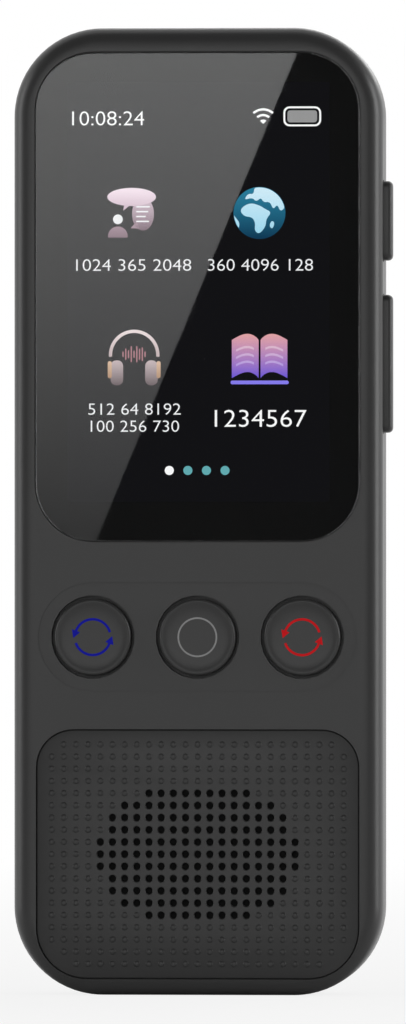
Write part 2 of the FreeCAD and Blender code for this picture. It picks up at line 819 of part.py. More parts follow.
def gather(label, things):
    """Joins like solids in one group, each still a solid of its own."""
    group = doc.addObject("Part::Compound", label)
    group.Links = things
    stand(group)
    return group


def rod(name, reach, length, base, faces):
    """A hidden round rod, drawn with few flats whose corners lie at a reach from its axis."""
    thing = doc.addObject("Part::Prism", name)
    thing.Polygon = faces
    bind(thing, "Circumradius", reach)
    bind(thing, "Height", length)
    bind_base(thing, *base)
    return thing


def screw_group(label, places, seat, head_height, shank_length, head_below):
    """Screws at several places, with their heads below the level where they seat, or above it."""
    screws = []
    for number, (x, y) in enumerate(places, start=1):
        head_foot = seat - head_height if head_below else seat
        shank_foot = seat if head_below else seat - shank_length
        screw = doc.addObject("Part::Fuse", "%s_%d" % (label, number))
        name = "%s_%d" % (label, number)
        head = (name + "_head", sizes.screw_head_diameter / 2, head_height, (x, y, head_foot))
        shank = (name + "_shank", sizes.screw_diameter / 2, shank_length, (x, y, shank_foot))
        screw.Base = rod(*head, SCREW_FACES)
        screw.Tool = rod(*shank, SCREW_FACES)
        screws.append(screw)
    return gather(label, screws)


def switch_group(label, places, sideways, width):
    """Push switches, each a square block with a bore for its stem, facing up or to the right."""
    switches = []
    for number, (x, y, z) in enumerate(places, start=1):
        block = doc.addObject("Part::Box", "%s_block_%d" % (label, number))
        bind(block, "Length", sizes.switch_height if sideways else width)
        bind(block, "Width", width)
        bind(block, "Height", width if sideways else sizes.switch_height)
        corner = (x, y - width / 2, z - width / 2) if sideways else (x - width / 2, y - width / 2, z)
        bind_base(block, *corner)
        reach = (sizes.stem_diameter / 2 + sizes.stem_gap) / math.cos(math.pi / HIDDEN_FACES)
        bore = rod("%s_bore_%d" % (label, number), reach, sizes.switch_height, (x, y, z), HIDDEN_FACES)
        if sideways:
            bore.Placement = Placement(bore.Placement.Base, Rotation(Vector(0, 1, 0), 90))
        switch = doc.addObject("Part::Cut", "%s_%d" % (label, number))
        switch.Base = block
        switch.Tool = bore
        switches.append(switch)
    return gather(label, switches)


def make_housing_screws():
    """Six long screws from the rear, whose heads stand in the counterbores."""
    seat = sizes.screw_head_recess + sizes.screw_head_height - sizes.rear_depth
    return [screw_group("housing_screws", SCREW_PLACES, seat, sizes.screw_head_height,
                        sizes.screw_bite - seat, head_below=True)]


# Cover glass and display

def make_display():
    """Cover glass, its frame of tape, the display bonded to the glass, its tray and its flat lead."""
    middle = (0, glass_middle)
    glass = new_body("cover_glass")
    outline = new_sketch(glass, "glass_outline", level=glass_bottom)
    draw_rectangle(outline, middle, (glass_width, glass_length), sizes.glass_radius)
    pad(outline, sizes.glass_thickness)
    tape = new_body("glass_adhesive")
    frame = new_sketch(tape, "tape_outline", level=tape_bottom)
    tape_size = (glass_width - 2 * sizes.tape_inset, glass_length - 2 * sizes.tape_inset)
    draw_rectangle(frame, middle, tape_size, sizes.glass_radius - sizes.tape_inset)
    draw_box(frame, middle, (opening_width, opening_length))
    pad(frame, sizes.tape_thickness)
    panel = slab("lcd_panel", middle, (lcd_width, lcd_length), lcd_bottom, sizes.lcd_thickness)

    tray = slab("lcd_frame", middle, (lcd_frame_width, lcd_frame_length), lcd_frame_bottom,
                sizes.lcd_frame_thickness + sizes.lcd_thickness / 2)
    inside = new_sketch(tray, "tray_inside", level=lcd_bottom + sizes.lcd_thickness / 2)
    draw_box(inside, middle, (lcd_width + 2 * sizes.tray_gap, lcd_length + 2 * sizes.tray_gap))
    pocket(inside, sizes.lcd_thickness / 2)

    lead = new_body("lcd_flex")
    section = new_sketch(lead, "lcd_flex_section", "YZ_Plane", level=sizes.lcd_flex_x)
    upper = lcd_frame_bottom
    lower = board_top + sizes.connector_height
    bend = battery_foot - sizes.lcd_flex_gap - sizes.lead_thickness
    near = glass_middle - lcd_frame_length / 2 + sizes.lcd_flex_overlap
    far = connector_y
    thick = sizes.lead_thickness
    draw_polygon(section, [
        (near, upper), (bend, upper), (bend, lower + thick), (far, lower + thick),
        (far, lower), (bend + thick, lower), (bend + thick, upper - thick), (near, upper - thick),
    ])
    pad(section, sizes.lcd_flex_width, both_ways=True)
    connector = slab("lcd_connector", (sizes.lcd_flex_x, connector_y),
                     (sizes.lcd_flex_width, sizes.connector_length),
                     board_top, sizes.connector_height)
    return [glass, tape, panel, tray, lead, connector]


# Loudspeaker and grille

def hole_places():
    """The places of the grid that lie in the ellipse of the hole field, from the field's middle."""
    pitch = float(sizes.hole_pitch)
    half_field = (float(sizes.hole_field_width) / 2, float(sizes.hole_field_length) / 2)
    columns, rows = (int(half // pitch) for half in half_field)
    grid = [(i * pitch, j * pitch) for j in range(-rows, rows + 1) for i in range(-columns, columns + 1)]
    return [(x, y) for x, y in grid if (x / half_field[0]) ** 2 + (y / half_field[1]) ** 2 <= 1]


def hole_prism(x, y, bottom, height):
    """The upright prism that cuts one sound hole, as wide across its flats as the hole."""
    reach = float(sizes.hole_diameter) / 2 / math.cos(math.pi / HOLE_FACES)
    turns = flat_turns(HOLE_FACES)
    corners = [Vector(x + reach * math.cos(turn), y + reach * math.sin(turn), bottom) for turn in turns]
    return Part.Face(Part.makePolygon(corners + corners[:1])).extrude(Vector(0, 0, height))


def make_grille():
    """The recessed panel: a bevelled plate with an oval field of sound holes."""
    blank = new_body("grille_blank", standing=False)
    outline = new_sketch(blank, "grille_outline", level=grille_bottom)
    draw_rectangle(outline, (0, grille_middle), (grille_width, sizes.grille_length),
                   sizes.grille_lower_radius, sizes.grille_upper_radius)
    plate = pad(outline, sizes.grille_thickness)
    dress("Chamfer", plate, edges_at(plate, "Z", grille_bottom + sizes.grille_thickness), sizes.grille_bevel)

    bottom = float(grille_bottom) - OVERLAP
    height = float(sizes.grille_thickness) + 2 * OVERLAP
    sound_holes = doc.addObject("Part::Feature", "sound_holes")
    sound_holes.Shape = Part.makeCompound([
        hole_prism(x, float(grille_middle) + y, bottom, height) for x, y in hole_places()
    ])
    grille = doc.addObject("Part::Cut", "speaker_grille")
    grille.Base = blank
    grille.Tool = sound_holes
    stand(grille)
    return [grille]


def make_speaker():
    """Cloth behind the grille, a foam ring, and a speaker in its frame with a domed cone and a magnet."""
    middle = (0, grille_middle)
    mesh = new_body("speaker_mesh")
    cloth = new_sketch(mesh, "mesh_outline", level=grille_bottom - sizes.mesh_thickness)
    draw_window(cloth, sizes.mesh_margin)
    pad(cloth, sizes.mesh_thickness)

    gasket = new_body("speaker_gasket")
    foam = new_sketch(gasket, "gasket_outline", level=gasket_bottom)
    draw_window(foam, sizes.gasket_width)
    draw_window(foam, as_size(0))
    pad(foam, sizes.gasket_thickness)

    frame = new_body("speaker_frame")
    outline = new_sketch(frame, "speaker_outline", level=speaker_bottom)
    draw_window(outline, sizes.gasket_width)
    pad(outline, sizes.speaker_depth)
    for name, inset, depth in (
        ("cone_seat", sizes.cone_inset, sizes.cone_depth + sizes.cone_thickness),
        ("air_space", sizes.cone_inset + sizes.cone_edge, sizes.speaker_depth - sizes.cone_thickness),
    ):
        hollow = new_sketch(frame, name, level=gasket_bottom)
        draw_window(hollow, sizes.gasket_width - inset)
        pocket(hollow, depth)

    cone = new_body("speaker_cone")
    cone_bottom = gasket_bottom - sizes.cone_depth - sizes.cone_thickness
    sheet_outline = new_sketch(cone, "cone_outline", level=cone_bottom)
    draw_window(sheet_outline, sizes.gasket_width - sizes.cone_inset)
    pad(sheet_outline, sizes.cone_thickness)
    dome = new_sketch(cone, "cone_dome", level=cone_bottom + sizes.cone_thickness)
    draw_peg(dome, middle, sizes.cone_dome_diameter)
    raised = pad(dome, sizes.cone_dome_height)
    crown = edges_at(raised, "Z", cone_bottom + sizes.cone_thickness + sizes.cone_dome_height)
    dress("Chamfer", raised, crown, sizes.cone_dome_height / 2)
    magnet = disc("speaker_magnet", middle, sizes.magnet_diameter, magnet_bottom, sizes.magnet_depth,
                  HIDDEN_FACES)
    return [mesh, gasket, frame, cone, magnet]


# The three keys in the face

def make_face_key(name, side):
    """A round key with a bevelled shoulder and a dished top, on a wider flange that holds it in."""
    key = new_body(name + "_key", at=(side * key_pitch, key_row, 0))
    cap = sizes.key_hole_diameter - 2 * sizes.key_gap
    cap_outline = new_sketch(key, name + "_key_cap", level=flange_bottom)
    draw_peg(cap_outline, (0, 0), cap, KEY_FACES)
    block = pad(cap_outline, key_top - flange_bottom)
    dress("Chamfer", block, edges_at(block, "Z", key_top), sizes.key_shoulder)
    dish = new_sketch(key, name + "_key_dish", level=key_top)
    draw_peg(dish, (0, 0), cap - 2 * (sizes.key_shoulder + sizes.key_rim), KEY_FACES)
    pocket(dish, sizes.key_dish_depth)
    flange = new_sketch(key, name + "_key_flange", level=flange_bottom)
    draw_peg(flange, (0, 0), sizes.key_hole_diameter + 2 * sizes.key_flange_width)
    pad(flange, sizes.key_flange_thickness)
    stem = new_body(name + "_switch_stem", at=(side * key_pitch, key_row, 0))
    stem_bottom = key_board_top + sizes.key_travel + sizes.stem_clearance
    outline = new_sketch(stem, name + "_stem_outline", level=stem_bottom)
    draw_peg(outline, (0, 0), sizes.stem_diameter)
    pad(outline, flange_bottom - stem_bottom)
    return [key, stem]


def make_key_board():
    """The small board under the keys with its switches, the screws that hold it and its connector."""
    width = 2 * key_pitch + sizes.key_hole_diameter + 2 * sizes.key_board_end_margin
    board = slab("key_board", (0, key_row), (width, sizes.key_board_length),
                 key_board_bottom, sizes.board_thickness)
    holes = new_sketch(board, "key_board_holes", level=key_board_top)
    for place in KEY_POSTS:
        draw_hole(holes, place, sizes.screw_diameter + 2 * sizes.screw_pass_gap)
    pocket(holes, sizes.board_thickness)
    places = [(side * key_pitch, key_row, key_board_top) for side in (-1, 0, 1)]
    switches = switch_group("key_switches", places, False, sizes.switch_size)
    screws = screw_group("key_board_screws", KEY_POSTS, key_board_bottom, sizes.board_screw_head,
                         sizes.board_screw_length, head_below=True)
    link = slab("key_board_header", (0, key_row - sizes.key_post_rise),
                (sizes.header_width, sizes.header_length), board_top, key_board_bottom - board_top)
    return [board, switches, screws, link]


# The side keys

def make_side_key(label, y, length, flange_gap):
    """A key through the right wall: a cap with a bevelled outer edge, on a flange behind the wall."""
    key = new_body(label, at=(0, y, sizes.side_key_level))
    flange_face = inner_side - flange_gap
    cap = new_sketch(key, label + "_cap", "YZ_Plane", level=flange_face)
    draw_box(cap, (0, 0), (length, sizes.side_key_depth), sizes.side_key_corner)
    outer = half_width + sizes.side_key_proud
    block = pad(cap, outer - flange_face)
    dress("Chamfer", block, edges_at(block, "X", outer), sizes.side_key_chamfer)
    flange = new_sketch(key, label + "_flange", "YZ_Plane", level=side_flange_back)
    wide = 2 * sizes.side_flange_width
    draw_box(flange, (0, 0), (length + wide, sizes.side_key_depth + wide))
    pad(flange, flange_face - side_flange_back)
    return key


def add_rocker_rib(key):
    """The round rib across a rocker's flange, which bears on the wall and lets the key tilt."""
    depth = sizes.side_key_depth + 2 * sizes.side_flange_width
    rib = new_sketch(key, "rocker_rib", level=-depth / 2)
    draw_circle(rib, (inner_side - sizes.side_flange_gap, 0), sizes.rocker_rib_radius)
    pad(rib, depth)


def make_side_stem(label, y, tip_gap):
    """The stem of a side switch, from just above its board to the key's flange."""
    stem = new_body(label, at=(0, y, sizes.side_key_level))
    foot = side_board_face + sizes.key_travel + sizes.stem_clearance
    outline = new_sketch(stem, label + "_outline", "YZ_Plane", level=foot)
    draw_peg(outline, (0, 0), sizes.stem_diameter)
    pad(outline, side_flange_back - tip_gap - foot)
    return stem


def make_side_keys():
    """The power key and the volume rocker, with their switches on an upright board."""
    power = make_side_key("power_key", power_key_y, sizes.power_key_length, sizes.side_key_rest_gap)
    volume = make_side_key("volume_key", volume_key_y, sizes.volume_key_length, sizes.side_flange_gap)
    add_rocker_rib(volume)
    up_y = volume_key_y + sizes.volume_switch_reach
    down_y = volume_key_y - sizes.volume_switch_reach
    power_stem = make_side_stem("power_switch_stem", power_key_y, 0)
    up_stem = make_side_stem("volume_up_stem", up_y, sizes.rocker_gap)
    down_stem = make_side_stem("volume_down_stem", down_y, sizes.rocker_gap)
    places = [(side_board_face, y, sizes.side_key_level) for y in (power_key_y, up_y, down_y)]
    switches = switch_group("side_switches", places, True, sizes.side_switch_width)

    board = new_body("side_key_board")
    low = volume_key_y - sizes.volume_key_length / 2
    high = power_key_y + sizes.power_key_length / 2
    top = roof - sizes.side_board_top_gap
    outline = new_sketch(board, "side_board_outline", "YZ_Plane", level=side_board_face)
    draw_box(outline, ((low + high) / 2, (board_top + top) / 2), (high - low, top - board_top))
    pad(outline, sizes.board_thickness, up=False)
    return [power, volume, power_stem, up_stem, down_stem, switches, board]


# Main board, battery and radio

def make_main_board():
    """The main board, notched round the screw bosses, on its four posts, and the parts on its rear side."""
    margin = 2 * (sizes.wall + sizes.board_margin)
    board = new_body("main_board")
    outline = new_sketch(board, "board_outline", level=board_bottom)
    size = (sizes.body_width - margin, sizes.body_length - margin)
    draw_box(outline, (0, body_middle), size, sizes.board_corner)
    pad(outline, sizes.board_thickness)
    notch = sizes.boss_diameter / 2 + sizes.board_notch_gap
    rounds = new_sketch(board, "notch_ends", level=board_top)
    for place in SCREW_PLACES:
        draw_hole(rounds, place, 2 * notch)
    pocket(rounds, sizes.board_thickness)
    for number, screw in enumerate(SCREWS, start=1):
        sides = new_sketch(board, "notch_%d" % number, level=board_top)
        draw_strut(sides, screw, 2 * notch, screw[-1])
        pocket(sides, sizes.board_thickness)
    holes = new_sketch(board, "board_holes", level=board_top)
    for place in BOARD_POSTS:
        draw_hole(holes, place, sizes.screw_diameter + 2 * sizes.screw_pass_gap)
    pocket(holes, sizes.board_thickness)
    screws = screw_group("board_screws", BOARD_POSTS, board_top, sizes.board_screw_head,
                         sizes.board_screw_length, head_below=False)

    mounted = []
    for label, x, y, width, length, height in (
        ("processor_shield", 0, glass_foot + sizes.processor_shield_rise, sizes.processor_shield_width,
         sizes.processor_shield_length, sizes.shield_height),
        ("radio_shield", -sizes.radio_shield_x, camera_y - sizes.radio_shield_drop, sizes.radio_shield_width,
         sizes.radio_shield_length, sizes.shield_height),
        ("memory_chip", 0, glass_foot + sizes.memory_chip_rise, sizes.memory_chip_width,
         sizes.memory_chip_length, sizes.chip_height),
        ("power_chip", 0, key_row, sizes.power_chip_size, sizes.power_chip_size, sizes.chip_height),
    ):
        mounted.append(slab(label, (x, y), (width, length), board_bottom - height, height))
    antenna = slab("wifi_antenna", (0, sizes.body_length - sizes.antenna_drop - sizes.antenna_length / 2),
                   (sizes.antenna_width, sizes.antenna_length), rear_floor, sizes.antenna_thickness)
    return [board, screws, *mounted, antenna]


def make_battery():
    """The flat cell on its foam pad, with a lead to its connector on the board."""
    top = sizes.body_length - sizes.battery_top_drop
    middle = (0, (battery_foot + top) / 2)
    margin = 2 * sizes.battery_pad_margin
    foam = slab("battery_pad", middle, (sizes.battery_width - margin, top - battery_foot - margin),
                board_top, sizes.battery_pad_thickness)
    bottom = board_top + sizes.battery_pad_thickness
    height = lcd_frame_bottom - sizes.battery_swell_gap - bottom
    cell = slab("battery", middle, (sizes.battery_width, top - battery_foot), bottom, height)
    connector = slab("battery_connector", (-sizes.connector_x, connector_y),
                     (sizes.connector_width, sizes.connector_length),
                     board_top, sizes.connector_height)
    lead_foot = connector_y - sizes.connector_length / 2
    lead = slab("battery_lead", (-sizes.connector_x, (lead_foot + battery_foot) / 2),
                (sizes.battery_lead_width, battery_foot - lead_foot),
                board_top + sizes.connector_height, sizes.lead_thickness)
    return [foam, cell, connector, lead]


# Charging port and microphones

def make_port():
    """The charging port: a flat tube, closed at the back, with a tongue in its middle."""
    port = new_body("usb_port")
    shell = new_sketch(port, "port_shell", "XZ_Plane", level=-sizes.port_setback)
    draw_port_outline(shell, as_size(0))
    pad(shell, sizes.port_length, up=False)
    mouth = new_sketch(port, "port_mouth", "XZ_Plane", level=-sizes.port_setback)
    draw_port_outline(mouth, -sizes.port_wall)
    pocket(mouth, sizes.port_length - sizes.port_back)
    tip = sizes.port_setback + sizes.port_tongue_setback
    tongue = new_sketch(port, "port_tongue", "XZ_Plane", level=-tip)
    draw_box(tongue, (0, port_level), (sizes.port_tongue_width, sizes.port_tongue_thickness))
    pad(tongue, sizes.port_setback + sizes.port_length - tip - sizes.port_back / 2, up=False)
    return [port]


def make_microphone(name, x, end, inwards):
    """A microphone under the board and the soft boot that leads its hole in the end wall to it."""
    wall_face = end + inwards * sizes.wall
    boot_near = wall_face + inwards * sizes.boot_setback
    boot_far = wall_face + inwards * sizes.boot_reach
    microphone_far = boot_far + inwards * sizes.microphone_length
    boot = slab(name + "_microphone_boot", (x, (boot_near + boot_far) / 2),
                (sizes.boot_width, inwards * (boot_far - boot_near)),
                board_bottom - sizes.boot_height, sizes.boot_height)
    bore = new_sketch(boot, name + "_boot_bore", "XZ_Plane", level=-boot_far)
    draw_hole(bore, (x, microphone_level), sizes.microphone_hole)
    pocket(bore, sizes.boot_reach, down=inwards < 0)
    microphone = slab(name + "_microphone", (x, (boot_far + microphone_far) / 2),
                      (sizes.microphone_width, sizes.microphone_length),
                      board_bottom - sizes.microphone_height, sizes.microphone_height)
    return [microphone, boot]


# Rear camera and lamp

def make_camera():
    """A small camera under the board, behind a round window in the rear, and the lamp with its lens."""
    camera = slab("camera_module", (0, camera_y), (sizes.camera_size, sizes.camera_size),
                  board_bottom - sizes.camera_height, sizes.camera_height)
    window_top = sizes.camera_window_recess + sizes.camera_window_thickness - sizes.rear_depth
    barrel_end = window_top + sizes.camera_barrel_gap
    barrel = new_sketch(camera, "camera_barrel", level=board_bottom - sizes.camera_height)
    draw_peg(barrel, (0, camera_y), sizes.camera_barrel_diameter)
    pad(barrel, board_bottom - sizes.camera_height - barrel_end, up=False)
    lens = new_sketch(camera, "camera_lens_recess", level=barrel_end)
    draw_hole(lens, (0, camera_y), sizes.camera_lens_diameter)
    pocket(lens, sizes.camera_lens_depth, down=False)
    window = disc("camera_window", (0, camera_y), sizes.camera_window_diameter,
                  sizes.camera_window_recess - sizes.rear_depth, sizes.camera_window_thickness, KEY_FACES)
    lens_face = sizes.flash_recess - sizes.rear_depth
    flash = disc("flash_lens", (0, flash_y), sizes.flash_diameter, lens_face, rear_floor - lens_face,
                 SMALL_FACES)
    flange = new_sketch(flash, "flash_flange", level=rear_floor)
    draw_peg(flange, (0, flash_y), sizes.flash_diameter + 2 * sizes.flash_flange)
    pad(flange, sizes.flash_flange_thickness)
    lamp_height = board_bottom - rear_floor - sizes.flash_flange_thickness - sizes.flash_lamp_gap
    lamp = slab("flash_lamp", (0, flash_y), (sizes.flash_lamp_size, sizes.flash_lamp_size),
                board_bottom - lamp_height, lamp_height)
    return [camera, window, flash, lamp]


# The whole translator

pieces = [make_front_housing(), make_rear_housing()]
pieces += make_housing_screws()
pieces += make_display()
pieces += make_grille()
pieces += make_speaker()
for key_name, key_side in (("left", -1), ("centre", 0), ("right", 1)):
    pieces += make_face_key(key_name, key_side)
pieces += make_key_board()
pieces += make_side_keys()
pieces += make_main_board()
pieces += make_battery()
pieces += make_port()
pieces += make_microphone("bottom", sizes.bottom_microphone_x, as_size(0), 1)
pieces += make_microphone("top", sizes.top_microphone_x, sizes.body_length, -1)
pieces += make_camera()
doc.recompute()

for thing in doc.Objects:
    if "Invalid" in thing.State or "Error" in thing.State:
        raise RuntimeError("%s failed: %s" % (thing.Label, thing.State))
for piece in pieces:
    if piece.Shape.isNull() or not piece.Shape.isValid() or not piece.Shape.Solids:
        raise RuntimeError("%s has no sound solid" % piece.Label)

os.makedirs("parts", exist_ok=True)
for piece in pieces:
    piece.Shape.exportStep("parts/%s.step" % piece.Label)
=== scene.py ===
import math
import bmesh
import bpy
import numpy as np
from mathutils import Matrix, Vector
from mathutils.geometry import tessellate_polygon


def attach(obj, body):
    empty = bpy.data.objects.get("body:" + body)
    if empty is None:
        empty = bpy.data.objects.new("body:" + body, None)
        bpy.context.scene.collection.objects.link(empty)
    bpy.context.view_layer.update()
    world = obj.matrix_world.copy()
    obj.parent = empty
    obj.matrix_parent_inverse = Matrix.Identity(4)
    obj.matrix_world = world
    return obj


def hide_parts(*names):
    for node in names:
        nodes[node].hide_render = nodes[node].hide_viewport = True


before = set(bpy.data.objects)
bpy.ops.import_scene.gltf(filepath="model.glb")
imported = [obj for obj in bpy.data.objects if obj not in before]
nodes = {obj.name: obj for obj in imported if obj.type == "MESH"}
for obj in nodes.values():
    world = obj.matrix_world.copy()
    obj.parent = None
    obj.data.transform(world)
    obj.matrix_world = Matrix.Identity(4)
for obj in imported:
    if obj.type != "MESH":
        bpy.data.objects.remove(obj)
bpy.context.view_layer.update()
scene = bpy.context.scene
scene.view_settings.view_transform = "Standard"
MM = 0.001


# The camera
# A long lens level with the middle of the upright body, turned a few degrees towards the side keys.

VIEW_TURN = math.radians(3.8)
VIEW_DISTANCE = 1.6
VIEW_WIDTH = 0.1264
VIEW_SHIFT, VIEW_HEIGHT = 0.256 * MM, 59.44 * MM
camera = bpy.data.cameras.new("camera")
camera.sensor_width = 36
camera.lens = 36 * VIEW_DISTANCE / VIEW_WIDTH
camera.clip_end = 20
eye = bpy.data.objects.new("camera", camera)
across = Vector((math.cos(VIEW_TURN), math.sin(VIEW_TURN), 0))
towards = Vector((math.sin(VIEW_TURN), -math.cos(VIEW_TURN), 0))
eye.location = VIEW_SHIFT * across + VIEW_DISTANCE * towards + Vector((0, 0, VIEW_HEIGHT))
eye.rotation_euler = (math.pi / 2, 0, VIEW_TURN)
scene.collection.objects.link(eye)
scene.camera = eye


# The studio
# A white surround that shows behind the object and in its gloss, soft boxes in front and at each side, and
# a pale floor that keeps the shadow.

class Value:
    """The output of a node, which can be added, multiplied and compared as a number can."""

    def __init__(self, tree, socket):
        self.tree = tree
        self.socket = socket

    def __add__(self, other):
        return self.tree.maths("ADD", self, other)

    def __radd__(self, other):
        return self.tree.maths("ADD", other, self)

    def __sub__(self, other):
        return self.tree.maths("SUBTRACT", self, other)

    def __rsub__(self, other):
        return self.tree.maths("SUBTRACT", other, self)

    def __mul__(self, other):
        return self.tree.maths("MULTIPLY", self, other)

    def __rmul__(self, other):
        return self.tree.maths("MULTIPLY", other, self)

    def __pow__(self, other):
        return self.tree.maths("POWER", self, other)

    def __gt__(self, other):
        return self.tree.maths("GREATER_THAN", self, other)

    def __lt__(self, other):
        return self.tree.maths("LESS_THAN", self, other)


class Tree:
    """A node tree, to which nodes are added one at a time."""

    def __init__(self, tree):
        self.tree = tree

    def join(self, value, socket):
        if isinstance(value, Value):
            self.tree.links.new(value.socket, socket)
        else:
            socket.default_value = value

    def add(self, kind, settings, sockets, out=0):
        """A node of a kind, with its settings made first, then the values or links of its sockets."""
        node = self.tree.nodes.new(kind)
        for name, setting in settings.items():
            setattr(node, name, setting)
        for name, value in sockets.items():
            self.join(value, node.inputs[name])
        return Value(self, node.outputs[out])

    def maths(self, operation, first, second=0.0):
        return self.add("ShaderNodeMath", {"operation": operation}, {0: first, 1: second})

    def parts(self, vector):
        return [self.add("ShaderNodeSeparateXYZ", {}, {0: vector}, out) for out in range(3)]

    def between(self, factor, low, high):
        """A colour between two, as far along as the factor says."""
        return self.add("ShaderNodeMix", {"data_type": "RGBA"}, {0: factor, 6: low, 7: high}, 2)

    def seen(self, rear):
        """Two masks: for the rays that see the surround as white, and for every ray of gloss or clear things.

        The first is 1 for camera rays, and for the others where the surround is behind.
        """
        camera, gloss, clear = (self.add("ShaderNodeLightPath", {}, {}, name)
                                for name in ("Is Camera Ray", "Is Glossy Ray", "Is Transmission Ray"))
        white = self.maths("MINIMUM", camera + (gloss + clear) * rear, 1.0)
        return white, self.maths("MAXIMUM", gloss, clear)


world = bpy.data.worlds.new("studio")
world.use_nodes = True
scene.world = world
sky = Tree(world.node_tree)
way = sky.parts(sky.add("ShaderNodeTexCoord", {}, {}, "Generated"))
white, mirrored = sky.seen(way[1] > 0.1)
dim = 0.48 - 0.45 * mirrored
shade = white + (1 - white) * dim
sky.join(shade, world.node_tree.nodes["Background"].inputs["Strength"])
world.node_tree.nodes["Background"].inputs["Color"].default_value = (1, 1, 1, 1)


def soft_box(name, place, aim, size, power):
    """A rectangular lamp that looks from its place to a point on the object."""
    lamp = bpy.data.lights.new(name, "AREA")
    lamp.shape = "RECTANGLE"
    lamp.size, lamp.size_y = size
    lamp.energy = power
    box = bpy.data.objects.new(name, lamp)
    box.location = place
    box.rotation_euler = (Vector(aim) - Vector(place)).to_track_quat("-Z", "Y").to_euler()
    box.visible_camera = False
    scene.collection.objects.link(box)


soft_box("front_left_box", (-0.38, -1.5, 0.1), (0, 0, 0.06), (0.42, 0.8), 1.95)
soft_box("front_right_box", (0.18, -1.5, 0.1), (0, 0, 0.06), (0.44, 0.8), 2.1)
soft_box("left_box", (-0.8, -0.1, 0.08), (0, 0, 0.06), (0.35, 0.9), 3.0)
soft_box("right_box", (0.8, -0.05, 0.08), (0, 0, 0.06), (0.35, 0.9), 5.0)
soft_box("rear_box", (0.3, 1.3, 0.7), (0, 0, 0.06), (0.9, 0.7), 5)


def stage_surface(name, corners):
    """One flat four-sided card or floor, which isn't part of the object."""
    mesh = bpy.data.meshes.new(name)
    mesh.from_pydata(corners, [], [(0, 1, 2, 3)])
    thing = bpy.data.objects.new(name, mesh)
    scene.collection.objects.link(thing)
    return thing


floor = stage_surface("floor", [(-6, -6, 0), (6, -6, 0), (6, 6, 0), (-6, 6, 0)])
floor_paint = bpy.data.materials.new("floor_paint")
floor_paint.use_nodes = True
paint = Tree(floor_paint.node_tree)
matt = paint.add("ShaderNodeBsdfDiffuse", {}, {0: (0.6, 0.6, 0.6, 1)})
bright = paint.add("ShaderNodeEmission", {}, {0: (1, 1, 1, 1), 1: 1.0})
spot = paint.add("ShaderNodeTexCoord", {}, {}, "Object")
away = paint.add("ShaderNodeVectorMath", {"operation": "LENGTH"}, {0: spot}, "Value")
share = paint.add("ShaderNodeMapRange", {}, {0: away, 1: 0.04, 2: 0.6, 3: 0.84, 4: 1.0})
white, _ = paint.seen(paint.parts(spot)[1] > 0.0)
mixed = paint.add("ShaderNodeMixShader", {}, {0: share * white, 1: matt, 2: bright})
paint.join(mixed, floor_paint.node_tree.nodes["Material Output"].inputs["Surface"])
floor.data.materials.append(floor_paint)

# A card beside the camera, which the cover glass mirrors as one slanting edge of light. A point of the glass
# shows the card at twice its distance from the camera's own line.
EYE_X, EYE_Y, EYE_Z = eye.location


def in_glass(x, z):
    """The place in the camera's plane that a point of the glass shows."""
    return (2 * x * MM - EYE_X, EYE_Y, 2 * z * MM - EYE_Z)


glare_corners = [in_glass(x, z) for x, z in ((-60, 0), (-35.6, 0), (18.7, 131.5), (-60, 131.5))]
glare = stage_surface("glare_card", glare_corners)
glare.visible_camera = False
glare.visible_diffuse = False
glare.visible_shadow = False
glare_paint = bpy.data.materials.new("glare_card")
glare_paint.use_nodes = True
card = Tree(glare_paint.node_tree)
height = card.parts(card.add("ShaderNodeTexCoord", {}, {}, "Object"))[2]
rise = card.add("ShaderNodeMapRange", {}, {0: height, 1: 0.05, 2: 0.18, 3: 0.0, 4: 1.0})
glow = card.between(rise, (0.21, 0.21, 0.21, 1), (1, 1, 1, 1))
shine = card.add("ShaderNodeEmission", {}, {0: glow, 1: 1.65})
card.join(shine, glare_paint.node_tree.nodes["Material Output"].inputs["Surface"])
glare.data.materials.append(glare_paint)


# The two housings
# Moulded in grey ABS with a fine matt spark texture, joined along the middle of the sides by a lip and six
# screws. Their outer rims are true rounds.

class Finish(Tree):
    """A material. Its plain numbers sit on the shader's own sockets, and what varies is linked to them."""

    def __init__(self, name, **sockets):
        self.material = bpy.data.materials.new(name)
        self.material.use_nodes = True
        super().__init__(self.material.node_tree)
        self.shader = self.tree.nodes["Principled BSDF"]
        self.set(**sockets)

    def set(self, **sockets):
        for name, value in sockets.items():
            self.join(value, self.shader.inputs[name.replace("_", " ")])

    def place(self):
        return self.add("ShaderNodeTexCoord", {}, {}, "Object")

    def noise(self, size, detail=2.0, stretch=(1, 1, 1)):
        """Soft noise from 0 to 1 whose features are about so large, in metres."""
        scaled = self.add("ShaderNodeMapping", {}, {"Vector": self.place(), "Scale": stretch})
        return self.add("ShaderNodeTexNoise", {}, {"Vector": scaled, "Scale": 1 / size, "Detail": detail})

    def cells(self, size, out=0):
        """Distance to the nearest of many scattered points, about so far apart."""
        return self.add("ShaderNodeTexVoronoi", {}, {"Vector": self.place(), "Scale": 1 / size}, out)

    def relief(self, height, depth):
        """Gives the surface a relief, so deep where the height is 1."""
        bump = self.add("ShaderNodeBump", {}, {"Distance": depth, "Height": height})
        self.set(Normal=bump)


def grey(level, tint=(1, 1, 1)):
    """A linear colour from a screen level of 0 to 255."""
    linear = ((level / 255 + 0.055) / 1.055) ** 2.4 if level > 10 else level / 255 / 12.92
    return tuple(linear * part for part in tint) + (1,)


def moulded(name, dark, light, low, high, texture, depth):
    """Moulded plastic: a fine spark texture, faint flow in its colour, and a touch of wear in its gloss."""
    finish = Finish(name, IOR=1.5)
    flow = finish.noise(14 * MM, 3)
    spark = finish.noise(texture, 2)
    finish.set(Base_Color=finish.between(0.6 * flow + 0.4 * spark, dark, light))
    finish.set(Roughness=low + (high - low) * spark)
    finish.relief(spark, depth)
    return finish.material


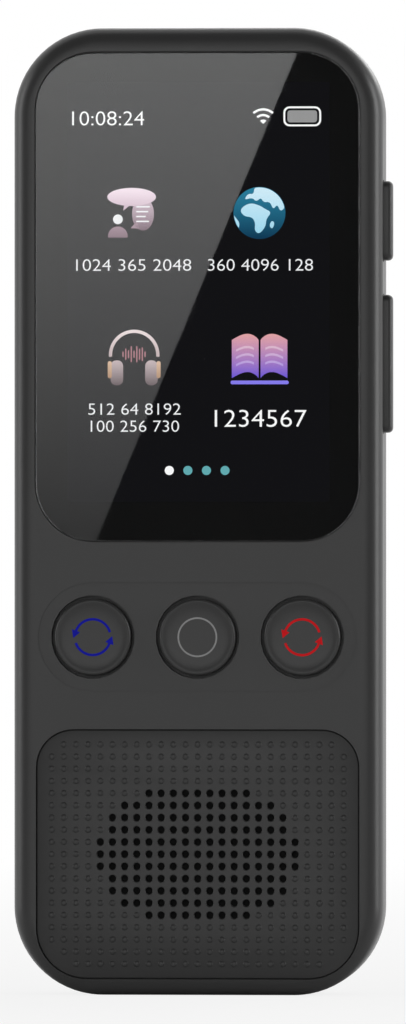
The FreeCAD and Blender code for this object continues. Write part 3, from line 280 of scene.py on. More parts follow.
housing_plastic = moulded("housing_plastic", grey(47), grey(52), 0.33, 0.40, 0.16 * MM, 0.004 * MM)


def put(name, mesh, finish, body, replaces=()):
    """Puts a finished mesh into the scene, on the body that it rides on."""
    piece = bpy.data.objects.new(name, mesh)
    scene.collection.objects.link(piece)
    mesh.materials.clear()
    mesh.materials.append(finish)
    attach(piece, body)
    if replaces:
        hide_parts(*replaces)
    return piece


BODY_HALF = (22.7 * MM, 59.5 * MM)
CORNER = 10.9 * MM


def smooth_housing(node, rim, depth):
    """The housing with its triangles joined, and the light carried over its rim as over a true round.

    A point of the rim lies on a round if its distance from the round's centre line, worked out from how far
    it is inside the outline and how far it is from the flat face, is the radius. Its normal points that way.
    """
    mesh = nodes[node].data.copy()
    shell = bmesh.new()
    shell.from_mesh(mesh)
    bmesh.ops.remove_doubles(shell, verts=shell.verts, dist=1e-7)
    shell.to_mesh(mesh)
    shell.free()
    mesh.shade_smooth()
    places = np.empty(len(mesh.vertices) * 3)
    mesh.vertices.foreach_get("co", places)
    corners = np.empty(len(mesh.loops), int)
    mesh.loops.foreach_get("vertex_index", corners)
    flat = np.empty(len(mesh.polygons) * 3)
    mesh.polygons.foreach_get("normal", flat)
    turns = np.empty(len(mesh.polygons), int)
    mesh.polygons.foreach_get("loop_total", turns)
    flat = np.repeat(flat.reshape(-1, 3), turns, axis=0)
    x, y, z = places.reshape(-1, 3)[corners].T
    z = z - BODY_HALF[1]
    past = np.stack([np.abs(x) - (BODY_HALF[0] - CORNER), np.abs(z) - (BODY_HALF[1] - CORNER)])
    past = np.maximum(past, 1e-9)
    reach = np.hypot(*past)
    outward = past / reach * np.stack([np.sign(x), np.sign(z)])
    inside = np.maximum(rim - (CORNER - reach), 0)
    above = np.maximum(np.abs(y) - (depth - rim), 0)
    true = np.stack([outward[0] * inside, np.sign(y) * above, outward[1] * inside], 1)
    length = np.linalg.norm(true, axis=1)
    true /= np.maximum(length, 1e-12)[:, None]
    on_skin = (np.abs(length - rim) < 0.12 * MM) & ((true * flat).sum(1) > 0.9)
    normals = np.where(on_skin[:, None], true, flat)
    mesh.normals_split_custom_set(normals.tolist())
    return mesh


put("front_shell", smooth_housing("front_housing", 2.2 * MM, 6.4 * MM), housing_plastic, "case",
    ["front_housing"])
put("rear_shell", smooth_housing("rear_housing", 3.0 * MM, 6.2 * MM), housing_plastic, "case",
    ["rear_housing"])


# The cover glass
# A sheet of hardened glass with a ground and polished edge, taped into its seat. A black border is printed on
# its rear, round the clear window over the display.

def outline(half_width, half_length, low_radius, high_radius, steps=14):
    """A rectangle with rounded corners, as points anticlockwise: a quarter turn on each of its corners."""
    turn = np.linspace(0, math.pi / 2, steps)
    radius = [high_radius, high_radius, low_radius, low_radius]
    ends = []
    for quarter, (side, end) in enumerate(((1, 1), (-1, 1), (-1, -1), (1, -1))):
        angle = turn + quarter * math.pi / 2
        middle = np.array([side * (half_width - radius[quarter]), end * (half_length - radius[quarter])])
        ends.append(middle + radius[quarter] * np.stack([np.cos(angle), np.sin(angle)], 1))
    return np.concatenate(ends)


def stack_faces(rings, around):
    """The quads of a stack of closed rings: each joins two neighbours on a ring with the two above them."""
    ring, step = np.meshgrid(np.arange(rings - 1), np.arange(around), indexing="ij")
    near, far = ring * around + step, ring * around + (step + 1) % around
    return np.stack([near, far, far + around, near + around], -1).reshape(-1, 4)


def closed_solid(name, rings, sharp=32):
    """A closed solid through a stack of rings, with each end filled to its middle and its faces outwards.

    The signed volume, a third of the sum of each face's area times its distance, tells whether to turn it.
    """
    rings = np.asarray(rings, float)
    count, around, _ = rings.shape
    points = np.concatenate([rings.reshape(-1, 3), rings[:1].mean(1), rings[-1:].mean(1)])
    step = np.arange(around)
    after = (step + 1) % around
    first, last = count * around, count * around + 1
    ends = np.concatenate([
        np.stack([np.full(around, first), after, step], 1),
        np.stack([np.full(around, last), step + first - around, after + first - around], 1),
    ])
    quads = stack_faces(count, around)
    halves = np.concatenate([quads[:, [0, 1, 2]], quads[:, [0, 2, 3]], ends])
    a, b, c = (points[halves[:, corner]] for corner in range(3))
    faces = quads.tolist() + ends.tolist()
    if (a * np.cross(b, c)).sum() < 0:
        faces = [face[::-1] for face in faces]
    mesh = bpy.data.meshes.new(name)
    mesh.from_pydata((points * MM).tolist(), [], faces)
    mesh.shade_smooth()
    mesh.set_sharp_from_angle(angle=math.radians(sharp))
    return mesh


def level(points, y, middle=(0, 0)):
    """Flat outline points, placed at a depth in the upright body, in millimetres."""
    return np.stack([points[:, 0] + middle[0], np.full(len(points), y), points[:, 1] + middle[1]], 1)


def eased_plate(half, radii, front, rear, ease, middle):
    """Rings of a plate with a rounded front edge: straight at the rear, then a quarter round, then flat."""
    rings = [level(outline(half[0], half[1], *radii), depth, middle) for depth in (rear, front + ease)]
    for turn in np.linspace(0, math.pi / 2, 5)[1:]:
        inset = ease * (1 - math.cos(turn))
        low, high = (max(radius - inset, 0.01) for radius in radii)
        ring = outline(half[0] - inset, half[1] - inset, low, high)
        rings.append(level(ring, front + ease * (1 - math.sin(turn)), middle))
    low, high = (max(radius - 1.3 * ease, 0.01) for radius in radii)
    rings.append(level(outline(half[0] - 1.3 * ease, half[1] - 1.3 * ease, low, high), front, middle))
    return rings


GLASS_MIDDLE = (0, 85.9)
clear_glass = Finish("clear_glass", Base_Color=(0.99, 1, 1, 1), IOR=1.5, Transmission_Weight=1.0)
smear = clear_glass.noise(9 * MM, 4)
clear_glass.set(Roughness=0.012 * smear)
glass_rings = eased_plate((20.0, 30.1), (7.2, 7.2), -6.35, -5.72, 0.12, GLASS_MIDDLE)
# Clear pieces cast no shadow, so that what lies behind them is lit evenly.
put("glass_sheet", closed_solid("glass_sheet", glass_rings), clear_glass.material, "case", ["cover_glass"]).visible_shadow = False


def flat_mesh(name, shapes, depth):
    """Flat figures that face forwards. Each is an outline, or a list of an outline and its holes."""
    points, faces = [], []
    for shape in shapes:
        rims = shape if isinstance(shape, list) else [shape]
        loops = [[Vector((x, z, 0)) for x, z in rim] for rim in rims]
        start = len(points)
        flat = [point for loop in loops for point in loop]
        for a, b, c in tessellate_polygon(loops):
            first, second = flat[b] - flat[a], flat[c] - flat[a]
            forward = first.x * second.y - first.y * second.x > 0
            faces.append([start + corner for corner in ((a, b, c) if forward else (a, c, b))])
        points += [(point.x * MM, depth * MM, point.y * MM) for point in flat]
    mesh = bpy.data.meshes.new(name)
    mesh.from_pydata(points, [], faces)
    return mesh


def shifted(points, x, z):
    return points + np.array([x, z])


DISPLAY_MIDDLE = (0.08, 86.5)
border_ink = Finish("border_ink", Specular_IOR_Level=0.0)
screening = border_ink.noise(0.3 * MM, 2)
border_ink.set(Base_Color=border_ink.between(screening, grey(20), grey(27)), Roughness=0.45 + 0.1 * screening)
window = shifted(outline(16.15, 25.8, 0.3, 0.3, 6), *DISPLAY_MIDDLE)
border = shifted(outline(19.95, 30.05, 7.15, 7.15), *GLASS_MIDDLE)
put("glass_border", flat_mesh("glass_border", [[border, window]], -5.71), border_ink.material, "case")


# The display
# A 2.4-inch colour panel bonded behind the glass. Its picture is a menu of four signs under a row with the
# time, the signal and the charge. Each figure of the picture is a thin lit layer on the panel.

PIXEL_STRENGTH = 1.1
PIXEL_LINE, PIXEL_LINE_HALF = 0.08 * MM, 0.012 * MM
LAYER_FRONT, LAYER_STEP = -5.66, 0.004


def lit(name, low, high=None, span=None):
    """A lit colour of the display, or one that runs from low to high over a span of heights in millimetres.

    The pixels show as a faint grid of darker lines.
    """
    finish = Finish(name, Base_Color=(0, 0, 0, 1), Roughness=1.0, Specular_IOR_Level=0.0,
                    Emission_Strength=PIXEL_STRENGTH)
    x, _, z = finish.parts(finish.place())
    if span:
        share = finish.add("ShaderNodeMapRange", {}, {0: z, 1: span[0] * MM, 2: span[1] * MM, 3: 0.0, 4: 1.0})
    else:
        share = finish.noise(2 * MM, 1)
        high = high or tuple(0.94 * part for part in low)
    tone = finish.between(share, low, high)
    row = finish.maths("PINGPONG", z, PIXEL_LINE)
    line = 1 - 0.1 * (row < PIXEL_LINE_HALF)
    dimmed = finish.between(line, (0, 0, 0, 1), tone)
    finish.set(Emission_Color=dimmed)
    return finish.material


def layer(name, shapes, finish, order):
    """One figure of the picture, drawn above those of a lower order."""
    mesh = flat_mesh("display_" + name, shapes, LAYER_FRONT - LAYER_STEP * order)
    put("display_" + name, mesh, finish, "case")


def round_shape(x, z, width, height=None, steps=40):
    """A circle or an upright ellipse, from its middle and its half width and height."""
    turn = np.linspace(0, 2 * math.pi, steps, endpoint=False)
    return np.stack([x + width * np.cos(turn), z + (height or width) * np.sin(turn)], 1)


def bar(left, right, foot, top, radius=0.1):
    """An upright rounded rectangle from its four sides."""
    shape = outline((right - left) / 2, (top - foot) / 2, radius, radius, 5)
    return shifted(shape, (left + right) / 2, (foot + top) / 2)


def bow(x, z, inner, outer, start, end, steps=24):
    """Part of a ring between two angles in degrees."""
    turn = np.radians(np.linspace(start, end, steps))
    edge = np.stack([np.cos(turn), np.sin(turn)], 1)
    return np.concatenate([edge * outer, edge[::-1] * inner]) + np.array([x, z])


def screen(red, green, blue):
    """A linear colour from the display's own levels of 0 to 255."""
    return tuple(grey(part)[0] for part in (red, green, blue)) + (1,)


unlit = lit("display_unlit", screen(13, 13, 16))
text_white = lit("display_white", screen(250, 250, 250))
soft_white = lit("display_soft_white", screen(236, 236, 238))
mid_grey = lit("display_grey", screen(150, 150, 150))
layer("ground", [bar(-16.1, 16.26, 60.6, 112.4, 0.2)], unlit, 0)

# The top row: the time in plain figures, three bows of signal, and the charge

def figures(name, text, left, right, foot, height, finish):
    """Plain figures in the built-in face, as wide and as high as the place they fill."""
    line = bpy.data.curves.new(name, "FONT")
    line.body = text
    line.resolution_u = 4
    line.offset = -0.008
    writer = bpy.data.objects.new(name, line)
    mesh = bpy.data.meshes.new_from_object(writer)
    bpy.data.objects.remove(writer)
    spots = np.empty(len(mesh.vertices) * 3)
    mesh.vertices.foreach_get("co", spots)
    x, z, _ = spots.reshape(-1, 3).T
    x = left + (right - left) * (x - x.min()) / np.ptp(x)
    z = foot + height * (z - z.min()) / np.ptp(z)
    depth = np.full(len(x), LAYER_FRONT - 3 * LAYER_STEP)
    mesh.vertices.foreach_set("co", (np.stack([x, depth, z], 1) * MM).ravel())
    put("display_" + name, mesh, finish, "case")


figures("clock", "10:08:24", -15.5, -6.6, 107.0, 1.75, text_white)
signal = [bow(8.06, 107.15, near, near + 0.28, 48, 132, 14) for near in (0.95, 1.65)]
layer("signal", signal + [bow(8.06, 107.15, 0.02, 0.55, 45, 135, 10)], text_white, 2)
layer("charge_frame", [[bar(10.55, 15.2, 106.85, 109.3, 0.75), bar(10.78, 14.97, 107.08, 109.07, 0.55)]],
      text_white, 2)
layer("charge", [bar(11.05, 14.7, 107.33, 108.82, 0.35)], mid_grey, 2)


# The captions hold plain numbers
figures("caption_1", "1024 365 2048", -15.0, -0.8, 89.1, 1.45, soft_white)
figures("caption_2", "360 4096 128", 1.25, 14.2, 89.1, 1.45, soft_white)
figures("caption_3", "512 64 8192", -13.5, -2.1, 71.4, 1.4, soft_white)
figures("caption_4", "100 256 730", -13.2, -2.3, 69.3, 1.4, soft_white)
figures("caption_5", "1234567", 2.1, 13.4, 69.9, 2.1, text_white)

# Two speech bubbles beside a figure
rose = lit("display_rose", screen(112, 88, 100), screen(218, 196, 210), (94, 99))
pale_rose = lit("display_pale_rose", screen(206, 182, 196), screen(236, 218, 228), (97, 99))
dusk_rose = lit("display_dusk_rose", screen(128, 104, 116), screen(176, 150, 162), (93.2, 95.4))
layer("upright_bubble", [round_shape(-6.75, 96.1, 1.35, 2.05)], rose, 2)
layer("upright_tail", [np.array([(-8.3, 94.35), (-7.2, 94.3), (-7.5, 95.2)])], dusk_rose, 2)
bubble_tail = np.array([(-9.2, 96.5), (-8.2, 97.3), (-9.0, 97.6)])
layer("wide_bubble", [round_shape(-8.15, 98.2, 3.0, 1.12), bubble_tail], pale_rose, 4)
layer("bubble_lines", [bar(-7.6, -5.9, 96.9, 97.08, 0.08), bar(-7.6, -6.1, 96.3, 96.48, 0.08),
                       bar(-7.6, -6.4, 95.7, 95.88, 0.08), bar(-7.6, -6.0, 95.1, 95.28, 0.08)], soft_white, 5)
shoulder_arc = bow(-9.85, 93.35, 0.0, 1.22, 0, 180, 20)[:20]
shoulders = np.concatenate([shoulder_arc, [[-11.07, 93.2], [-8.63, 93.2]]])
layer("figure_body", [shoulders], dusk_rose, 4)
layer("figure_head", [round_shape(-9.85, 95.45, 0.6)], soft_white, 5)

# A globe: a shaded disc of sea with land that has its own coasts
GLOBE = (7.6, 96.2)

def coast(*corners):
    """A coast line: each corner cut twice, a quarter of the way along the sides, and kept on the disc."""
    line = np.array(corners, float)
    for _ in range(2):
        after = np.roll(line, -1, axis=0)
        line = np.stack([0.75 * line + 0.25 * after, 0.25 * line + 0.75 * after], 1).reshape(-1, 2)
    far = np.maximum(np.hypot(*line.T) / 3.14, 1)
    return shifted(line / far[:, None], *GLOBE)


sea = lit("display_sea", screen(10, 56, 84), screen(40, 122, 152), (93.2, 99.0))
land = lit("display_land", screen(150, 212, 236), screen(206, 234, 246), (93.2, 99.0))
layer("sea", [round_shape(*GLOBE, 3.2, steps=64)], sea, 2)
layer("land", [
    coast((-1.9, 0.9), (-1.0, 1.25), (0.1, 0.9), (0.7, 0.5), (1.5, 0.1), (0.8, -0.8), (0.8, -1.6),
          (0.0, -2.6), (-0.6, -2.2), (-0.5, -1.2), (-0.9, -0.5), (-1.9, -0.4), (-2.4, 0.3)),
    coast((-1.9, 1.6), (-1.4, 2.4), (-0.7, 2.3), (-0.6, 3.3), (1.2, 3.2), (2.6, 2.4), (3.3, 0.9), (2.6, 0.1),
          (2.2, 1.1), (1.7, 0.4), (1.3, 1.4), (0.5, 1.3), (0.2, 1.9), (-0.4, 1.4), (-0.9, 1.9)),
    coast((1.5, -0.9), (1.9, -1.2), (1.6, -2.0), (1.2, -1.6)),
    coast((-3.4, 0.0), (-2.8, -0.7), (-2.4, -1.3), (-2.7, -2.2)),
], land, 3)

# Headphones round a run of sound bars
pad_rose = lit("display_pad", screen(92, 78, 82), screen(214, 196, 198), (75, 79.2))
band_rose = lit("display_band", screen(182, 162, 164), screen(232, 218, 218), (78, 82))
gold = lit("display_gold", screen(150, 108, 74), screen(228, 196, 168), (75, 79))
wave_rose = lit("display_wave", screen(168, 118, 126))
layer("band", [bow(-7.84, 78.75, 2.72, 3.12, -4, 184, 48)], band_rose, 2)
layer("yokes", [bar(-11.1, -10.6, 75.9, 78.0, 0.24), bar(-5.08, -4.58, 75.9, 78.0, 0.24)], gold, 3)
layer("pads", [bar(-10.75, -9.2, 75.0, 78.1, 0.7), bar(-6.48, -4.93, 75.0, 78.1, 0.7)], pad_rose, 2)
heights = (0.35, 0.7, 0.5, 1.0, 0.45, 1.0, 0.7, 0.85, 0.35)
layer("wave", [bar(-9.3 + 0.34 * step, -9.13 + 0.34 * step, 78.85 - tall, 78.85 + tall, 0.08)
               for step, tall in enumerate(heights)], wave_rose, 2)

# An open book
violet = lit("display_violet", screen(80, 74, 214), screen(240, 172, 150), (75.4, 82.4))
lilac = lit("display_lilac", screen(132, 122, 236), screen(250, 206, 184), (75.4, 82))
BOOK_X = 7.62
along = np.linspace(0, 1, 16)
swell = 0.75 * np.sin(math.pi * along ** 0.8)
for name, side in (("left_page", -1), ("right_page", 1)):
    x = BOOK_X + side * (0.12 + 3.3 * along)
    upper = np.stack([x, 80.6 + swell], 1)
    lower = np.stack([x, 75.9 + swell], 1)
    layer(name, [np.concatenate([upper, lower[::-1]])], violet, 2)
    lines = []
    for rise in (1.1, 2.0, 2.9):
        crest = 0.72 * np.sin(math.pi * (0.17 + 0.67 * along) ** 0.8)
        edge = np.stack([BOOK_X + side * (0.7 + 2.2 * along), 76.1 + rise + crest], 1)
        lines.append(np.concatenate([edge + [0, 0.14], edge[::-1] - [0, 0.14]]))
    layer(name + "_lines", lines, lilac, 3)
layer("book_cover", [bar(4.05, 11.2, 75.15, 75.6, 0.2)], lilac, 1)

# Four page marks
teal = lit("display_teal", screen(98, 170, 176))
layer("page_marks", [round_shape(x, 64.55, 0.56) for x in (-1.22, 1.07, 3.36)], teal, 2)
layer("page_mark_lit", [round_shape(-3.51, 64.55, 0.56)], text_white, 2)


# The loudspeaker grille
# A moulded panel set a little below the face: round sound holes in an oval, and a grid of raised pips round
# it as far as the panel's edge.

PITCH = 1.5
GRILLE_MIDDLE = (0, 17.35)
GRILLE_HALF = (19.85, 15.3)
GRILLE_FRONT, GRILLE_REAR = -6.15, -5.25
columns, rows = np.meshgrid(np.arange(-12, 13), np.arange(-9, 10))
grid = np.stack([columns.ravel(), rows.ravel()], 1) * PITCH
in_oval = (grid[:, 0] / 12.3) ** 2 + (grid[:, 1] / 8.93) ** 2 <= 1
holes = grid[in_oval]


def panel_depth(points):
    """How far points are inside the panel's rounded outline: the distance to a side, or to a corner's arc."""
    radius = np.where(points[:, 1] > 0, 4.6, 6.2)
    past = np.abs(points) - (np.array(GRILLE_HALF) - radius[:, None])
    corner = np.hypot(*np.maximum(past, 0).T)
    return np.where((past > 0).all(1), radius - corner, radius - past.max(1))


def grille_panel():
    """The front face filled between the outline and the holes, the rear face alike, and walls between them.

    Each hole and the outline are rings of points that step from a small ease at the front to the rear.
    """
    turn = np.linspace(0, 2 * math.pi, 14, endpoint=False)
    circle = np.stack([np.cos(turn), np.sin(turn)], 1)
    ease = ((0.1, 0.0), (0.03, 0.03), (0.0, 0.1), (0.0, GRILLE_REAR - GRILLE_FRONT))
    edge_ease = ((0.14, 0.0), (0.041, 0.041), (0.0, 0.14), (0.0, GRILLE_REAR - GRILLE_FRONT))
    rims = [[outline(GRILLE_HALF[0] - inset, GRILLE_HALF[1] - inset, 6.2 - inset, 4.6 - inset)
             for inset, _ in edge_ease]]
    rims += [[hole + (0.435 + grow) * circle for grow, _ in ease] for hole in holes]
    steps = [[down for _, down in edge_ease]] + [[down for _, down in ease]] * len(holes)
    front = [Vector((x, z, 0)) for rim in rims for x, z in rim[0]]
    fill = tessellate_polygon([[Vector((x, z, 0)) for x, z in rim[0]] for rim in rims])
    points, faces, first_of, last_of = [], [], [], []
    for rim, down in zip(rims, steps):
        start, around = len(points), len(rim[0])
        for ring, depth in zip(rim, down):
            points += [(x, GRILLE_FRONT + depth, z + GRILLE_MIDDLE[1]) for x, z in ring]
        quads = stack_faces(len(rim), around) + start
        faces += quads[:, ::-1].tolist()
        first_of += range(start, start + around)
        last_of += range(start + 3 * around, start + 4 * around)
    for a, b, c in fill:
        one, two = front[b] - front[a], front[c] - front[a]
        a, b, c = (a, b, c) if one.x * two.y - one.y * two.x > 0 else (a, c, b)
        faces.append([first_of[a], first_of[b], first_of[c]])
        faces.append([last_of[a], last_of[c], last_of[b]])
    mesh = bpy.data.meshes.new("grille_panel")
    mesh.from_pydata((np.array(points) * MM).tolist(), [], faces)
    mesh.shade_smooth()
    mesh.set_sharp_from_angle(angle=math.radians(50))
    return mesh


def pip_field():
    """Every pip as one shallow dome: rings that shrink as they rise, closed at the top and below the face."""
    spots = grid[~in_oval & (panel_depth(grid) >= 1.2)]
    turn = np.linspace(0, 2 * math.pi, 10, endpoint=False)
    reach = np.array([0.42, 0.40, 0.31, 0.17])
    rise = np.array([-0.03, 0.02, 0.085, 0.115])
    rings = np.stack([np.outer(reach, np.cos(turn)), np.repeat(-rise[:, None], 10, 1),
                      np.outer(reach, np.sin(turn))], -1).reshape(-1, 3)
    dome = np.concatenate([rings, [[0, 0.03, 0], [0, -0.122, 0]]])
    step = np.arange(10)
    after = (step + 1) % 10
    ends = [np.stack([np.full(10, 40), after, step, step], 1),
            np.stack([np.full(10, 41), step + 30, after + 30, after + 30], 1)]
    faces = np.concatenate([stack_faces(4, 10)] + ends)
    shift = np.stack([spots[:, 0], np.full(len(spots), GRILLE_FRONT), spots[:, 1] + GRILLE_MIDDLE[1]], 1)
    points = (shift[:, None] + dome[None]).reshape(-1, 3)
    every = (np.arange(len(spots))[:, None, None] * len(dome) + faces[None]).reshape(-1, 4)
    mesh = bpy.data.meshes.new("grille_pips")
    mesh.from_pydata((points * MM).tolist(), [], [list(dict.fromkeys(face)) for face in every.tolist()])
    mesh.shade_smooth()
    return mesh


grille_plastic = moulded("grille_plastic", grey(46), grey(51), 0.35, 0.43, 0.12 * MM, 0.005 * MM)
put("grille_panel", grille_panel(), grille_plastic, "case", ["speaker_grille"])
put("grille_pips", pip_field(), grille_plastic, "case")


# The three face keys
# Round moulded caps with a soft shoulder and a dished top, held behind the face by a wider flange. Their
# signs are pad-printed inks.

KEY_ROW = 44.05
KEY_TOP = -6.85
DISH_REACH, DISH_DEPTH = 4.35, 0.25


def dish(reach):
    """Depth of a key's top at a distance from its middle: a bowl, steep at its edge and flat inside."""
    return KEY_TOP + DISH_DEPTH * np.clip(1 - (reach / DISH_REACH) ** 6, 0, 1)


def key_cap(name, x):
    """A profile turned about the key's axis: rear, flange, straight side, round shoulder, rim and dish."""
    shoulder = np.linspace(0, math.pi / 2, 7)
    reach = [5.78, 5.8, 5.8, 4.74, 4.74, *(4.4 + 0.34 * np.cos(shoulder)), *np.linspace(DISH_REACH, 0.4, 16)]
    depth = [-3.8, -3.82, -4.4, -4.4, -4.41, *(KEY_TOP + 0.5 - 0.5 * np.sin(shoulder)),
             *dish(np.linspace(DISH_REACH, 0.4, 16))]
    turn = np.linspace(0, 2 * math.pi, 72, endpoint=False)
    circle = np.stack([np.cos(turn), np.sin(turn)], 1)
    rings = [level(circle * r, d, (x, KEY_ROW)) for r, d in zip(reach, depth)]
    return closed_solid(name, rings, 40)


def print_mesh(name, shapes, x, lift=0.012):
    """Ink figures laid on a dished key: strips of points, two across, that follow the bowl just above it."""
    points, faces = [], []
    for shape in shapes:
        start = len(points)
        reach = np.hypot(shape[..., 0], shape[..., 1])
        flat = np.stack([shape[..., 0] + x, dish(reach) - lift, shape[..., 1] + KEY_ROW], -1)
        points += flat.reshape(-1, 3).tolist()
        for step in range(len(shape) - 1):
            near = start + 2 * step
            faces.append([near, near + 2, near + 3, near + 1])
    mesh = bpy.data.meshes.new(name)
    mesh.from_pydata((np.array(points) * MM).tolist(), [], faces)
    mesh.shade_smooth()
    return mesh


def ring_strip(radius, width, start, end, steps=40):
    """A strip of ink along part of a circle, from one angle in degrees to another."""
    turn = np.radians(np.linspace(start, end, steps))
    edge = np.stack([np.cos(turn), np.sin(turn)], 1)
    return np.stack([edge * (radius - width / 2), edge * (radius + width / 2)], 1)


def arrow_head(radius, angle, length=0.95, half=0.54):
    """A head that tapers from its full width to a point along the circle's run, anticlockwise."""
    turn = math.radians(angle)
    out = np.array([math.cos(turn), math.sin(turn)])
    run = np.array([-math.sin(turn), math.cos(turn)])
    along = np.linspace(0, 1, 6)[:, None]
    middle = out * radius + run * length * along
    wide = half * (1 - 0.98 * along)
    return np.stack([middle - out * wide, middle + out * wide], 1)


def ink(name, low, high):
    """Pad-printed ink: a little uneven in colour where the pad left less, and glossier than the key."""
    finish = Finish(name, IOR=1.5, Specular_IOR_Level=0.12)
    patch = finish.noise(0.5 * MM, 3)
    finish.set(Base_Color=finish.between(patch, low, high), Roughness=0.38 + 0.15 * patch)
    return finish.material


key_plastic = moulded("key_plastic", grey(48), grey(53), 0.33, 0.40, 0.14 * MM, 0.003 * MM)
turning = [ring_strip(2.2, 0.3, 16, 161), ring_strip(2.2, 0.3, 199, 341),
           arrow_head(2.2, 159), arrow_head(2.2, 339)]
signs = {
    "left": (turning, ink("blue_ink", (0.001, 0.003, 0.34, 1), (0.002, 0.005, 0.42, 1))),
    "centre": ([ring_strip(2.35, 0.2, 0, 360, 72)], ink("grey_ink", grey(140), grey(158))),
    "right": (turning, ink("red_ink", (0.62, 0.002, 0.006, 1), (0.75, 0.004, 0.01, 1))),
}
for side, x in (("left", -12.9), ("centre", 0.0), ("right", 12.9)):
    shapes, colour = signs[side]
    put(side + "_cap", key_cap(side + "_cap", x), key_plastic, side + "_key", [side + "_key"])
    put(side + "_print", print_mesh(side + "_print", shapes, x), colour, side + "_key")


# The side keys
# A short power key and a long volume rocker, moulded with softly rounded outer edges and ends, each on a
# flange behind the wall.

SIDE_KEY_DEPTH = -2.1


def side_key(name, middle, half, flange, rear_x, flange_x, cap_x=23.85):
    """Rings along the key's travel: the flange, the cap's straight side, then a round to its flat face."""
    depth, radius, ease = 1.3, 0.85, 0.6
    turn = np.linspace(0, math.pi / 2, 7)
    runs = [(rear_x, 1.9, flange, 0.05), (flange_x, 1.9, flange, 0.05), (flange_x, depth, half, radius)]
    for t in turn:
        inset = ease * (1 - math.cos(t))
        reach = cap_x - ease + ease * math.sin(t)
        runs.append((reach, depth - inset, half - inset, max(radius - inset, 0.02)))
    rings = []
    for x, wide, long, corner in runs:
        shape = outline(wide, long, corner, corner, 8)
        front_to_rear, upwards = shape[:, 0] + SIDE_KEY_DEPTH, shape[:, 1] + middle
        rings.append(np.stack([np.full(len(shape), x), front_to_rear, upwards], 1))
    return closed_solid(name, rings, 40)


put("power_cap", side_key("power_cap", 95.3, 4.9, 5.5, 20.55, 21.4), key_plastic, "power_key", ["power_key"])
put("volume_cap", side_key("volume_cap", 77.7, 8.5, 9.1, 20.55, 21.15), key_plastic, "volume_key",
    ["volume_key"])


# The display module behind the picture
# A colour panel in a pressed steel tray, held to the glass by a frame of black foam tape, with a flat amber
# lead that folds down to its connector on the main board.

def dress(finish, *names):
    """Gives CAD pieces their material."""
    for name in names:
        nodes[name].data.materials.clear()
        nodes[name].data.materials.append(finish)


def metal(name, dark, light, low, high, stretch=(1, 1, 1)):
    """Bare or plated metal: drawn or rolled streaks in its colour and gloss, and a very fine relief."""
    finish = Finish(name, Metallic=1.0)
    streak = finish.noise(1.2 * MM, 4, stretch)
    finish.set(Base_Color=finish.between(streak, dark, light), Roughness=low + (high - low) * streak)
    finish.relief(streak, 0.002 * MM)
    return finish.material


def ruled(name, ground, track, pitch, share, axis):
    """A flat circuit: parallel tracks along one axis, each so much of the pitch, under a faint mottle."""
    finish = Finish(name, Roughness=0.45)
    across = finish.parts(finish.place())[axis]
    wave = finish.maths("PINGPONG", across, pitch / 2)
    line = wave < pitch / 2 * share
    mottle = finish.noise(2 * MM, 2)
    finish.set(Base_Color=finish.between(line * (0.8 + 0.2 * mottle), ground, track))
    finish.relief(line, 0.01 * MM)
    return finish.material


dress(moulded("foam_tape", grey(14), grey(24), 0.6, 0.75, 0.1 * MM, 0.01 * MM), "glass_adhesive")
dress(ruled("display_film", grey(12), grey(20, (0.9, 1, 1.2)), 0.16 * MM, 0.4, 0), "lcd_panel")
dress(metal("tray_steel", grey(168), grey(196), 0.28, 0.42, (1, 1, 0.1)), "lcd_frame")
amber = ruled("amber_lead", grey(150, (1.3, 0.75, 0.28)), grey(186, (1.3, 0.8, 0.4)), 0.5 * MM, 0.45, 0)
dress(amber, "lcd_flex", "battery_lead")
connector_plastic = ruled("connector_plastic", grey(30), grey(170, (1.1, 1.0, 0.8)), 0.5 * MM, 0.35, 0)
dress(connector_plastic, "lcd_connector", "battery_connector", "key_board_header")


# The loudspeaker behind the grille
# Woven acoustic cloth, a ring of soft foam, a plastic frame with a thin black cone, and a plated magnet.

cloth = Finish("speaker_cloth", Roughness=0.9, Sheen_Weight=0.2)
x, _, z = cloth.parts(cloth.place())
HALF_THREAD = 0.09 * MM
warp = cloth.maths("PINGPONG", x, HALF_THREAD) * (1 / HALF_THREAD)
weft = cloth.maths("PINGPONG", z, HALF_THREAD) * (1 / HALF_THREAD)
thread = cloth.maths("MAXIMUM", warp, weft)
cloth.set(Base_Color=cloth.between(thread, grey(3), grey(20)))
cloth.relief(thread, 0.03 * MM)
dress(cloth.material, "speaker_mesh")
foam = Finish("ring_foam", Roughness=0.95)
pores = foam.cells(0.25 * MM)
foam.set(Base_Color=foam.between(pores, grey(14), grey(44)))
foam.relief(pores, 0.06 * MM)
dress(foam.material, "speaker_gasket", "battery_pad")
dress(moulded("frame_plastic", grey(20), grey(30), 0.45, 0.6, 0.2 * MM, 0.006 * MM), "speaker_frame")
dress(moulded("cone_sheet", grey(16), grey(34), 0.35, 0.5, 0.5 * MM, 0.02 * MM), "speaker_cone")
dress(metal("magnet_plating", grey(176), grey(206), 0.18, 0.34), "speaker_magnet")


# Stems and switches
# Natural nylon stems between the keys and small tactile switches with pressed covers.

nylon = moulded("stem_nylon", grey(196, (1, 1, 0.94)), grey(214, (1, 1, 0.95)), 0.4, 0.5,
                0.3 * MM, 0.004 * MM)
dress(nylon, "left_switch_stem", "centre_switch_stem", "right_switch_stem", "power_switch_stem",
      "volume_up_stem", "volume_down_stem")
dress(metal("switch_cover", grey(150), grey(188), 0.25, 0.4, (1, 1, 0.2)), "key_switches", "side_switches")


# Circuit boards and what stands on them
# Glass-fibre boards under green solder mask with copper tracks, tinned shields over the radio and processor,
# black chips, and plated screws.

